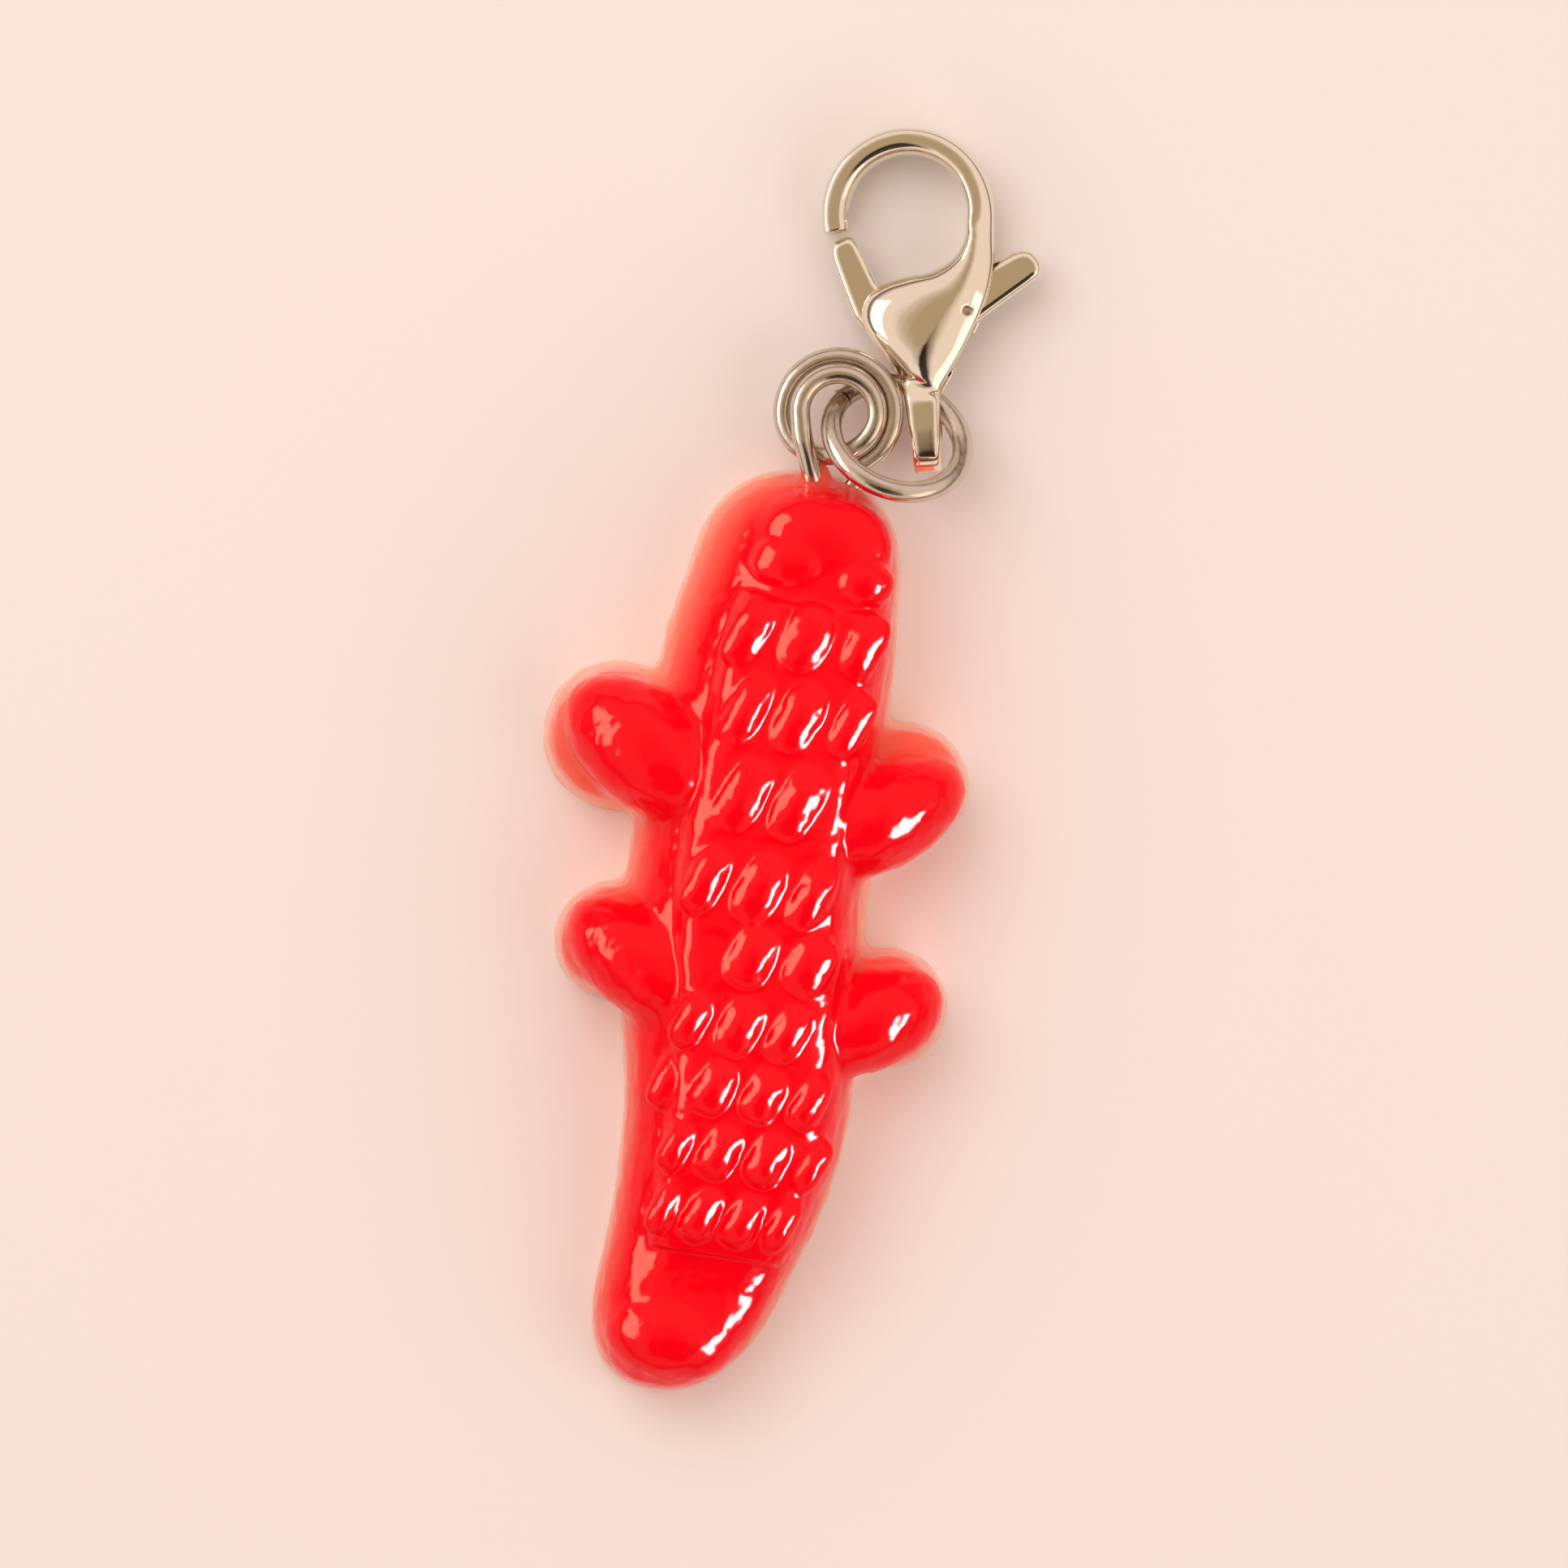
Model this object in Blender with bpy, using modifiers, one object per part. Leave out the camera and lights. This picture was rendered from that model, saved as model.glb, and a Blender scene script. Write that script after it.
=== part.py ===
"""Clip-on charm: a glossy red resin crocodile, the plastic copy of a gummy sweet.

The crocodile lies on its flat back.  A wire eye of two turns stands out of its
head, a split jump ring hangs in the eye, and a lobster clasp hangs on the ring.

Frame: the origin is on the flat back, near its middle.  +Y runs along the spine
to the head, +X to the right as seen from above, +Z out of the scaly side.
The lengths below are in millimetres and become metres through mm().
"""
from math import cos, pi, radians, sin, sqrt

import bmesh
import bpy
from mathutils import Matrix, Vector

# ---------------------------------------------------------------- dimensions

# Crocodile: the trunk's stations from head to tail, as (place along the spine,
# left edge, right edge, ridge line, height, superellipse power of the left flank)
TRUNK = (
    (20.25, -4.55, 4.15, 1.05, 6.1, 2.1),
    (15.6, -5.00, 4.20, 1.00, 6.3, 2.1),
    (12.6, -5.50, 4.55, 0.70, 6.5, 2.2),
    (8.0, -5.60, 4.60, 0.35, 6.7, 2.3),
    (2.6, -5.55, 4.80, 0.35, 6.7, 2.3),
    (-2.0, -5.20, 5.30, 0.80, 6.5, 2.5),
    (-7.8, -4.05, 5.75, 1.35, 6.1, 3.1),
    (-12.0, -3.80, 5.10, 1.20, 5.6, 3.3),
    (-15.5, -3.95, 4.00, 0.60, 4.9, 3.2),
    (-20.15, -4.30, 2.60, -0.70, 5.0, 2.8),
)
HEAD_ROUND = 4.7         # length of the rounded end at the head
TAIL_ROUND = 4.6         # the same at the tail
END_POWER = 2.4          # superellipse power of both ends, seen from above
HEAD_TOP_POWER = 3.2     # both ends are blunter seen from the side
TAIL_TOP_POWER = 4.0
RIGHT_POWER = 3.6        # the right flank is steep
CREST_POWER = 2.3
SINK = 2.0               # how far the rough form runs below the flat back
LOFT_STEPS = 54
LOFT_SIDES = 40

# Raised panel that carries the scales, as (place along the spine, left edge, right edge)
BACK_PANEL = (
    (14.1, -3.00, 4.00),
    (12.5, -3.40, 4.10),
    (5.0, -3.90, 4.10),
    (0.0, -3.60, 4.40),
    (-7.0, -2.75, 4.95),
    (-13.9, -2.55, 3.90),
)
PANEL_RISE = 0.20
PANEL_POWER = 8.0
PANEL_STEPS = 30
FRONT_HOLLOW = 0.8       # how far the panel's front corners stand before its middle
FRONT_SHARE = 0.2        # share of the panel's length that is bent for that

# Legs: name, foot's centre and radius, bud's centre, bud's half sizes
# (along, across, up), heading of the bud and how far it tips up to the spine
LEGS = (
    ("left_fore", (-6.85, 7.60), 3.25, (-5.45, 7.20, 3.75), (4.30, 2.60, 2.90), -29, 14),
    ("right_fore", (5.90, 7.50), 2.68, (5.10, 5.95, 3.55), (4.05, 2.25, 2.90), 38, -14),
    ("left_hind", (-5.65, -1.20), 2.55, (-4.25, -1.90, 3.40), (3.90, 2.25, 2.75), -28, 14),
    ("right_hind", (6.60, -2.20), 2.62, (6.10, -2.75, 3.35), (3.30, 2.20, 2.65), 35, -14),
)
FOOT_HEIGHT = 3.1
FOOT_TAPER = 0.86        # the foot's radius at its top over that at the back

# Scales: rows across the back, as (place along the spine, middle, how many, pitch)
SCALE_ROWS = (
    (12.9, 0.55, 3, 2.60),
    (9.5, 0.75, 3, 2.40),
    (5.9, 0.15, 2, 2.35),
    (2.1, 0.30, 3, 2.45),
    (-0.9, 1.70, 2, 2.50),
    (-3.9, 0.45, 3, 2.25),
    (-6.7, 0.85, 4, 2.15),
    (-9.4, 1.50, 4, 2.05),
    (-12.1, 1.05, 4, 1.80),
)
SCALE_LENGTH = 0.43      # half length over the distance to the next row
SCALE_WIDTH = 0.43       # half width over the pitch
SCALE_RISE = 0.55        # how far a scale stands over the panel
SCALE_DEPTH = 0.70       # half height of the scale's body
SCALE_LEAN = 20          # a scale leans this many degrees to the right
SCALE_PLAN = 3.0         # its sides are straighter than an egg's, seen from above
SCALE_PROFILE = 1.55     # and it has a ridge, seen from its end

BROW, BROW_SIZE, BROW_RISE = (0.65, 17.15), (3.10, 2.25, 1.70), 0.40
EYES = ((-0.60, 16.35), (2.55, 15.90))
EYE_SIZE = (1.50, 1.15, 1.00)
EYE_RISE = 0.50
TAIL_BUMP, TAIL_BUMP_SIZE, TAIL_BUMP_RISE = (-0.35, -17.65), (2.90, 2.05, 2.00), 0.60

ROUGH_VOXEL = 0.34
ROUGH_SMOOTH = 14
FINE_VOXEL = 0.24
FINE_SMOOTH = 2
CROCODILE_FACES = 9400

# Wire eye: rows of (angle, radius, height) along the wire.  It comes out of the
# head, makes the small front turn, widens behind its own leg, makes the large
# back turn and goes back into the head.
EYE_CENTRE = (0.34, 22.92)
EYE_WIRE = 0.88
EYE_TURNS = (
    (189, 1.66, 4.12),
    (99, 1.66, 3.92),
    (9, 1.66, 3.75),
    (-71, 1.74, 3.56),
    (-141, 2.32, 2.92),
    (-191, 2.38, 2.95),
    (-351, 2.40, 3.10),
    (-416, 2.48, 3.05),
)
EYE_STEP = 11            # degrees between the points of a turn
EYE_FRONT_LEG = (
    (0.20, 18.60, 3.30), (-0.06, 19.30, 3.55), (-0.33, 20.00, 3.82), (-0.66, 20.80, 4.06), (-1.05, 21.65, 4.16),
)
EYE_BACK_LEG = ((1.62, 20.25, 3.02), (1.25, 19.45, 3.00), (1.00, 18.70, 3.00))
SOCKET_GAP = 0.12        # room round the wire in the resin
SOCKET_BOTTOM = 0.25     # room below the wire's end
SOCKET_REACH = 1.2       # how far the cutter runs out of the head

# Jump ring
RING_CENTRE = (3.02, 22.23, 3.68)
RING_MEAN_RADIUS = 2.96
RING_WIRE = 0.93
RING_HEADING = 165.3     # direction of the ring's level diameter
RING_TILT = 41           # the side over the head is raised
RING_CUT = 2.2           # degrees of the cut where the ring was opened
RING_CUT_AT = 14         # from the end of the level diameter that lies in the eye
RING_POINTS = 40
RING_SWIVEL = (0.40, 22.95, 3.68)        # the ring turns round the eye about +Z here

# Lobster clasp, in its own frame: X to the right, Y to the hook, Z out of its face
CLASP_PLACE = (4.00, 23.66, 1.88)
CLASP_TURN = 13.96       # degrees, seen from above
CLASP_DIP = 2.0          # the hook's end is lower than the tail
CLASP_ROLL = 5.0         # the side of the gate is lower
# The clasp slides round the ring about an axis through this point, which leans
# so that the clasp stays over the table
CLASP_SWIVEL = (4.00, 22.70, 3.60)
HOOK_CENTRE = (0.03, 8.49)
HOOK_OUTER = 3.77
HOOK_INNER = 2.55
HOOK_TIP_ANGLE = 189
HOOK_ROOT_ANGLE = -12
HOOK_STEPS = 22
HOOK_HALF_THICK = (0.95, 1.00, 1.12)     # at the tip, the top and the root
# Each section of the clasp has its crest at a share of the way from its middle to
# its outer edge, an inner and an outer superellipse power, and the thickness of its
# outer edge as a share of the whole: the hook has a flat face, its root slopes
# outwards, and the body has a dome and a flat outer facet over a plain edge
HOOK_SHAPE = ((0.0, 2.4, 4.5, 0.0), (0.0, 2.4, 4.5, 0.0), (-0.20, 3.0, 2.0, 0.45))
# Clasp body: hole or left edge, right edge, half thickness, crest, outer power
BODY_RUNGS = (
    ((2.36, 7.20), (3.80, 7.15), 1.27, -0.10, 1.9),
    ((1.75, 6.42), (3.62, 6.00), 1.42, 0.00, 1.75),
    ((0.80, 6.00), (3.25, 4.80), 1.55, 0.10, 1.6),
    ((-0.40, 5.86), (2.78, 3.80), 1.66, 0.20, 1.55),
    ((-1.45, 5.62), (2.25, 2.90), 1.70, 0.27, 1.5),
    ((-2.22, 5.10), (1.78, 2.15), 1.70, 0.30, 1.45),
    ((-2.50, 4.30), (1.40, 1.60), 1.66, 0.32, 1.4),
    ((-2.25, 3.40), (1.12, 1.18), 1.60, 0.33, 1.45),
    ((-1.65, 2.40), (0.93, 0.85), 1.52, 0.33, 1.55),
    ((-1.12, 1.45), (0.84, 0.62), 1.44, 0.25, 2.0),
)
BODY_POWER = 2.5         # superellipse power of the body's dome
BODY_EDGE = 0.56         # thickness of its outer edge, as a share of the whole
TAIL_POWER = 5.0
TAIL_HALF_WIDTH = (0.79, 0.60)           # at the neck and at the end
TAIL_NECK = 0.30
TAIL_END = -2.76
TAIL_HALF_THICK = 1.40
TAIL_EDGE = 0.75         # radius of the tail's end, seen from the side
TAIL_STEPS = 9
TAIL_SLOT = (-1.35, 1.85)                # the ring's slot, from and to along Y
TAIL_SLOT_HEIGHT = 1.56
TAIL_SLOT_CORNER = 0.45
CLASP_SIDES = 24
CUTTER_LENGTH = 6.0      # long enough to go through the clasp

PIVOT = (2.30, 4.05)
LEVER_THICK = 1.10
LEVER_BEVEL = 0.14
LEVER_ROOM = 1.40        # thickness of the slot that the lever turns in
PIVOT_PIN_RADIUS = 0.18
PIVOT_HOLE_RADIUS = 0.24
PIVOT_PIN_LENGTH = 2.60  # nearly through both walls of the body
GROOVE_RADII = (5.60, 6.86)              # groove for the gate in the hook's tip,
GROOVE_ANGLES = (120, 165)               # round the pivot
GROOVE_STEPS = 12
LEVER_OUTLINE = (
    (2.62, 3.55), (3.30, 3.98), (5.16, 5.10), (5.50, 5.34), (5.62, 5.68), (5.52, 6.06),
    (5.24, 6.42), (4.86, 6.54), (4.48, 6.46), (3.28, 5.93), (2.20, 5.36), (1.20, 5.04),
    (0.10, 4.92), (-0.72, 4.98), (-1.28, 5.22), (-1.62, 5.72), (-1.88, 6.40), (-2.26, 7.38),
    (-2.44, 7.68), (-2.80, 7.78), (-3.30, 7.58), (-3.50, 7.28), (-3.46, 6.80), (-3.05, 5.30),
    (-2.72, 4.20), (-2.36, 3.70), (-1.60, 3.45), (-0.40, 3.36), (1.20, 3.38), (2.05, 3.42),
)
LEVER_ROOM_OUTLINE = (
    (-5.0, 2.62), (4.8, 2.62), (4.8, 6.92), (2.6, 6.32), (1.9, 7.4), (-5.0, 6.9),
)

RESIN = (0.80, 0.006, 0.016)
STEEL = (0.56, 0.53, 0.47)


def mm(value):
    """Millimetres to metres, for a number or a tuple."""
    if isinstance(value, (tuple, list, Vector)):
        return Vector([0.001 * part for part in value])
    return 0.001 * value


# ------------------------------------------------------------------- helpers

def collection(name):
    made = bpy.data.collections.new(name)
    bpy.context.scene.collection.children.link(made)
    return made


def material(name, colour, roughness, metallic):
    made = bpy.data.materials.new(name)
    made.use_nodes = True
    shader = made.node_tree.nodes["Principled BSDF"]
    shader.inputs["Base Color"].default_value = (*colour, 1.0)
    shader.inputs["Roughness"].default_value = roughness
    shader.inputs["Metallic"].default_value = metallic
    return made


def put(name, mesh, group, parent=None, place=(0, 0, 0)):
    """A mesh, or an empty for None, as an object in a collection."""
    made = bpy.data.objects.new(name, mesh)
    group.objects.link(made)
    made.parent = parent
    made.location = mm(place)
    return made


def mesh_from(bm, name):
    bmesh.ops.recalc_face_normals(bm, faces=bm.faces)
    mesh = bpy.data.meshes.new(name)
    bm.to_mesh(mesh)
    bm.free()
    return mesh


def modified(mesh, group, *modifiers):
    """The mesh after the modifiers, each given as (type, {setting: value})."""
    helper = put("helper", mesh, group)
    for kind, settings in modifiers:
        modifier = helper.modifiers.new(kind.title(), kind)
        for setting, value in settings.items():
            setattr(modifier, setting, value)
    bpy.context.view_layer.update()
    seen = helper.evaluated_get(bpy.context.evaluated_depsgraph_get())
    result = bpy.data.meshes.new_from_object(seen)
    bpy.data.objects.remove(helper)
    return result


def loft(rings, name):
    """Closed skin over rings of equally many points, with flat ends."""
    bm = bmesh.new()
    loops = [[bm.verts.new(point) for point in ring] for ring in rings]
    count = len(loops[0])
    for near, far in zip(loops, loops[1:]):
        for i in range(count):
            j = (i + 1) % count
            bm.faces.new((near[i], near[j], far[j], far[i]))
    bm.faces.new(loops[0])
    bm.faces.new(loops[-1])
    return mesh_from(bm, name)


def tube(name, points, diameter, group, resolution=2):
    """Round wire along a list of points, with filled ends, as one closed mesh."""
    curve = bpy.data.curves.new(name, "CURVE")
    curve.dimensions = "3D"
    curve.bevel_depth = mm(diameter / 2)
    curve.bevel_resolution = resolution
    curve.use_fill_caps = True
    line = curve.splines.new("POLY")
    line.points.add(len(points) - 1)
    for spot, point in zip(line.points, points):
        spot.co = (*point, 1.0)
    helper = put("helper", curve, group)
    bpy.context.view_layer.update()
    seen = helper.evaluated_get(bpy.context.evaluated_depsgraph_get())
    mesh = bpy.data.meshes.new_from_object(seen)
    bpy.data.objects.remove(helper)
    bm = bmesh.new()
    bm.from_mesh(mesh)
    bmesh.ops.remove_doubles(bm, verts=bm.verts, dist=1e-7)
    return mesh_from(bm, name)


def plate(name, outline, thickness, bevel=0.0):
    """Flat plate with the outline given in millimetres, centred on Z = 0."""
    bm = bmesh.new()
    face = bm.faces.new([bm.verts.new((*mm(point), mm(-thickness / 2))) for point in outline])
    grown = bmesh.ops.extrude_face_region(bm, geom=[face])
    top = [item for item in grown["geom"] if isinstance(item, bmesh.types.BMVert)]
    bmesh.ops.translate(bm, verts=top, vec=(0, 0, mm(thickness)))
    bmesh.ops.recalc_face_normals(bm, faces=bm.faces)
    if bevel:
        rim = [edge for edge in bm.edges
               if abs(edge.verts[0].co.z - edge.verts[1].co.z) < 1e-9]
        bmesh.ops.bevel(bm, geom=rim, offset=mm(bevel), segments=2, profile=0.6, affect="EDGES")
    return mesh_from(bm, name)


def cutter(name, mesh, group, parent=None, place=(0, 0, 0)):
    made = put(name, mesh, group, parent, place)
    made.hide_render = True
    made.display_type = "WIRE"
    return made


def cut(target, tool):
    modifier = target.modifiers.new("Cut " + tool.name, "BOOLEAN")
    modifier.operation = "DIFFERENCE"
    modifier.solver = "EXACT"
    modifier.object = tool


def between(rows, place):
    """Values of a table at a place along its first column, smoothly joined."""
    ordered = sorted(rows)
    place = min(max(place, ordered[0][0]), ordered[-1][0])
    for i in range(len(ordered) - 1):
        if place <= ordered[i + 1][0]:
            break
    before = ordered[max(i - 1, 0)]
    start, stop = ordered[i], ordered[i + 1]
    after = ordered[min(i + 2, len(ordered) - 1)]
    span = stop[0] - start[0]
    t = (place - start[0]) / span
    values = []
    for k in range(1, len(start)):
        slope_in = (stop[k] - before[k]) / (stop[0] - before[0]) * span
        slope_out = (after[k] - start[k]) / (after[0] - start[0]) * span
        values.append(
            (2 * t**3 - 3 * t**2 + 1) * start[k] + (t**3 - 2 * t**2 + t) * slope_in
            + (3 * t**2 - 2 * t**3) * stop[k] + (t**3 - t**2) * slope_out
        )
    return values


# ----------------------------------------------------------------- crocodile

def trunk_section(y):
    """Left edge, right edge, ridge line, height and left power of the trunk at a place."""
    left, right, ridge, height, left_power = between(TRUNK, y)
    head_start = TRUNK[0][0] - HEAD_ROUND
    tail_start = TRUNK[-1][0] + TAIL_ROUND
    wide = tall = 1.0
    if y > head_start:
        t = min((y - head_start) / HEAD_ROUND, 0.999)
        wide = (1 - t**END_POWER) ** (1 / END_POWER)
        tall = (1 - t**HEAD_TOP_POWER) ** (1 / HEAD_TOP_POWER)
    elif y < tail_start:
        t = min((tail_start - y) / TAIL_ROUND, 0.999)
        wide = (1 - t**END_POWER) ** (1 / END_POWER)
        tall = (1 - t**TAIL_TOP_POWER) ** (1 / TAIL_TOP_POWER)
    middle = (left + right) / 2
    half = (right - left) / 2 * wide
    ridge = middle + (ridge - middle) * wide
    return middle - half, middle + half, ridge, height * tall, left_power


def arch(left, right, ridge, height, left_power, right_power, y):
    """Section of the trunk: a lopsided superellipse over straight sunk sides."""
    ring = [mm((right, y, -SINK))]
    for side in range(LOFT_SIDES + 1):
        angle = pi * side / LOFT_SIDES
        on_right = angle < pi / 2
        power = right_power if on_right else left_power
        reach = right - ridge if on_right else left - ridge
        across = abs(cos(angle)) ** (2 / power)
        z = height * max(1 - across**power, 0.0) ** (1 / CREST_POWER)
        ring.append(mm((ridge + reach * across, y, z)))
    ring.append(mm((left, y, -SINK)))
    return ring


def trunk_height(x, y):
    """Height of the smooth trunk, or of the panel on it, over the flat back."""
    left, right, ridge, height, left_power = trunk_section(y)
    reach = right - ridge if x > ridge else ridge - left
    power = RIGHT_POWER if x > ridge else left_power
    share = min(abs(x - ridge) / reach, 1.0)
    surface = height * (1 - share**power) ** (1 / CREST_POWER)
    if BACK_PANEL[-1][0] < y < BACK_PANEL[0][0]:
        left, right = between(BACK_PANEL, y)
        share = abs(2 * x - left - right) / (right - left)
        raised = (height + PANEL_RISE) * max(1 - share**PANEL_POWER, 0.0) ** (1 / CREST_POWER)
        surface = max(surface, raised)
    return surface


def trunk_rings():
    rings = []
    low, high = TRUNK[-1][0], TRUNK[0][0]
    for step in range(LOFT_STEPS + 1):
        # the stations crowd together towards both round ends
        y = (low + high) / 2 - (high - low) / 2 * cos(pi * (0.02 + 0.96 * step / LOFT_STEPS))
        rings.append(arch(*trunk_section(y), RIGHT_POWER, y))
    return rings


def panel_rings():
    """Rings of the back panel.  Its front edge is hollow, as a collar is."""
    rings = []
    low, high = BACK_PANEL[-1][0], BACK_PANEL[0][0]
    for step in range(PANEL_STEPS + 1):
        along = step / PANEL_STEPS
        y = low + (high - low) * along
        left, right = between(BACK_PANEL, y)
        middle = (left + right) / 2
        height = trunk_section(y)[3] + PANEL_RISE
        ring = arch(left, right, middle, height, PANEL_POWER, PANEL_POWER, y)
        bend = FRONT_HOLLOW * max(along - 1 + FRONT_SHARE, 0.0) / FRONT_SHARE
        for point in ring:
            aside = (point.x - mm(middle)) / mm(right - middle)
            point.y += mm(bend) * aside**2
        rings.append(ring)
    return rings


def squared(point, plan, profile):
    """Point of a ball of radius one, moved to the superellipsoid with these powers."""
    away = sqrt(point.x**2 + point.y**2)
    if away < 1e-6:
        return point.copy()
    x, y = point.x / away, point.y / away
    reach = away ** (2 / profile) / (abs(x) ** plan + abs(y) ** plan) ** (1 / plan)
    z = abs(point.z) ** (2 / profile)
    return Vector((x * reach, y * reach, z if point.z > 0 else -z))


def add_ball(bm, centre, half_sizes, heading=0.0, tip=0.0, segments=24, plan=2.0, profile=2.0):
    """Ellipsoid, its length turned by heading in plan and tipped up by tip."""
    turn = Matrix.Rotation(radians(heading), 4, "Z") @ Matrix.Rotation(radians(-tip), 4, "Y")
    place = Matrix.Translation(mm(centre)) @ turn @ Matrix.Diagonal((*mm(half_sizes), 1.0))
    made = bmesh.ops.create_uvsphere(
        bm, u_segments=segments, v_segments=segments // 2, radius=1.0)
    for vertex in made["verts"]:
        vertex.co = place @ squared(vertex.co, plan, profile)


def add_foot(bm, centre, radius):
    height = FOOT_HEIGHT + SINK
    middle = (FOOT_HEIGHT - SINK) / 2
    bmesh.ops.create_cone(
        bm, cap_ends=True, segments=40, depth=mm(height),
        radius1=mm(radius * (1 + (1 - FOOT_TAPER) * SINK / FOOT_HEIGHT)),
        radius2=mm(radius * FOOT_TAPER),
        matrix=Matrix.Translation(mm((*centre, middle))),
    )


def add_knob(bm, place, size, rise, heading=0.0, **form):
    """Ball that stands out of the trunk's surface by rise."""
    x, y = place
    add_ball(bm, (x, y, trunk_height(x, y) + rise - size[2]), size, heading, **form)


def add_scales(bm):
    places = [row[0] for row in SCALE_ROWS]
    for row, (y, middle, count, pitch) in enumerate(SCALE_ROWS):
        gap = places[max(row - 1, 0)] - places[min(row + 1, len(places) - 1)]
        gap /= 2 if 0 < row < len(places) - 1 else 1
        for i in range(count):
            place = (middle + (i - (count - 1) / 2) * pitch, y)
            size = (gap * SCALE_LENGTH, pitch * SCALE_WIDTH, SCALE_DEPTH)
            add_knob(bm, place, size, SCALE_RISE, 90 - SCALE_LEAN,
                     plan=SCALE_PLAN, profile=SCALE_PROFILE)


def crocodile(group, cutters):
    bm = bmesh.new()
    bm.from_mesh(loft(trunk_rings(), "trunk"))
    for name, foot, radius, bud, size, heading, tip in LEGS:
        add_foot(bm, foot, radius)
        add_ball(bm, bud, size, heading, tip, 32)
    add_knob(bm, BROW, BROW_SIZE, BROW_RISE)
    add_knob(bm, TAIL_BUMP, TAIL_BUMP_SIZE, TAIL_BUMP_RISE)
    form = modified(
        mesh_from(bm, "rough form"), cutters,
        ("REMESH", {"mode": "VOXEL", "voxel_size": mm(ROUGH_VOXEL)}),
        ("SMOOTH", {"factor": 0.5, "iterations": ROUGH_SMOOTH}),
    )
    bm = bmesh.new()
    bm.from_mesh(form)
    bm.from_mesh(loft(panel_rings(), "panel"))
    add_scales(bm)
    for place in EYES:
        add_knob(bm, place, EYE_SIZE, EYE_RISE)
    form = modified(
        mesh_from(bm, "relief"), cutters,
        ("REMESH", {"mode": "VOXEL", "voxel_size": mm(FINE_VOXEL)}),
        ("SMOOTH", {"factor": 0.5, "iterations": FINE_SMOOTH}),
    )
    share = CROCODILE_FACES / (2 * len(form.polygons))
    form = modified(form, cutters, ("DECIMATE", {"ratio": share}))
    bm = bmesh.new()
    bm.from_mesh(form)
    everything = list(bm.verts) + list(bm.edges) + list(bm.faces)
    bmesh.ops.bisect_plane(bm, geom=everything, plane_co=(0, 0, 0), plane_no=(0, 0, -1),
                           clear_outer=True, dist=1e-6)
    bmesh.ops.holes_fill(bm, edges=[edge for edge in bm.edges if edge.is_boundary])
    bmesh.ops.triangulate(bm, faces=[face for face in bm.faces if len(face.verts) > 4])
    body = put("crocodile", mesh_from(bm, "crocodile"), group)
    body.data.shade_smooth()
    front = [mm(point) for point in EYE_FRONT_LEG[:3]]
    back = [mm(point) for point in reversed(EYE_BACK_LEG)]
    for name, leg in (("front_socket", front), ("back_socket", back)):
        deep, inner, outer = leg
        bottom = deep + (deep - inner).normalized() * mm(SOCKET_BOTTOM)
        top = outer + (outer - inner).normalized() * mm(SOCKET_REACH)
        mesh = tube(name, [bottom, inner, top], EYE_WIRE + 2 * SOCKET_GAP, cutters, 3)
        cut(body, cutter(name, mesh, cutters))
    return body


# ------------------------------------------------------------------ wire eye

def eye_points():
    points = [mm(point) for point in EYE_FRONT_LEG]
    first, last = EYE_TURNS[0][0], EYE_TURNS[-1][0]
    steps = int(abs(first - last) / EYE_STEP)
    for step in range(steps + 1):
        angle = first + (last - first) * step / steps
        radius, height = between(EYE_TURNS, angle)
        points.append(mm((
            EYE_CENTRE[0] + radius * cos(radians(angle)),
            EYE_CENTRE[1] + radius * sin(radians(angle)),
            height,
        )))
    return points + [mm(point) for point in EYE_BACK_LEG]


# ----------------------------------------------------------------- jump ring

def ring_frame():
    """Level direction and raised direction of the ring's plane."""
    heading = radians(RING_HEADING)
    level = Vector((cos(heading), sin(heading), 0))
    side = Vector((sin(heading), -cos(heading), 0))
    if side.y > 0:
        side = -side
    tilt = radians(RING_TILT)
    return level, side * cos(tilt) + Vector((0, 0, sin(tilt)))


def ring_points():
    level, raised = ring_frame()
    points = []
    for step in range(RING_POINTS + 1):
        angle = radians(RING_CUT_AT + RING_CUT / 2 + (360 - RING_CUT) * step / RING_POINTS)
        around = level * cos(angle) - raised * sin(angle)
        points.append(mm(Vector(RING_CENTRE) + RING_MEAN_RADIUS * around))
    return points


# --------------------------------------------------------------------- clasp

def rung(inner, outer, half_thick, crest, power_in, power_out, edge):
    """Section of the clasp between two points of its outline."""
    inner, outer = Vector(inner), Vector(outer)
    middle, half = (inner + outer) / 2, (outer - inner) / 2
    ring = []
    for side in range(CLASP_SIDES):
        angle = 2 * pi * side / CLASP_SIDES
        outwards = cos(angle) > 0
        power = power_out if outwards else power_in
        reach = 1 - crest if outwards else -1 - crest
        across = crest + reach * abs(cos(angle)) ** (2 / power)
        up = abs(sin(angle)) ** (2 / power)
        if outwards and side > 0:
            up = edge + (1 - edge) * up
        if sin(angle) < 0:
            up = -up
        spot = middle + half * across
        ring.append(mm((spot.x, spot.y, half_thick * up)))
    return ring


def along_hook(values, share):
    """Value at a share of the hook's length, from those at its tip, top and root."""
    tip, top, root = values
    return tip + (top - tip) * 2 * share if share < 0.5 else top + (root - top) * (2 * share - 1)


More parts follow.
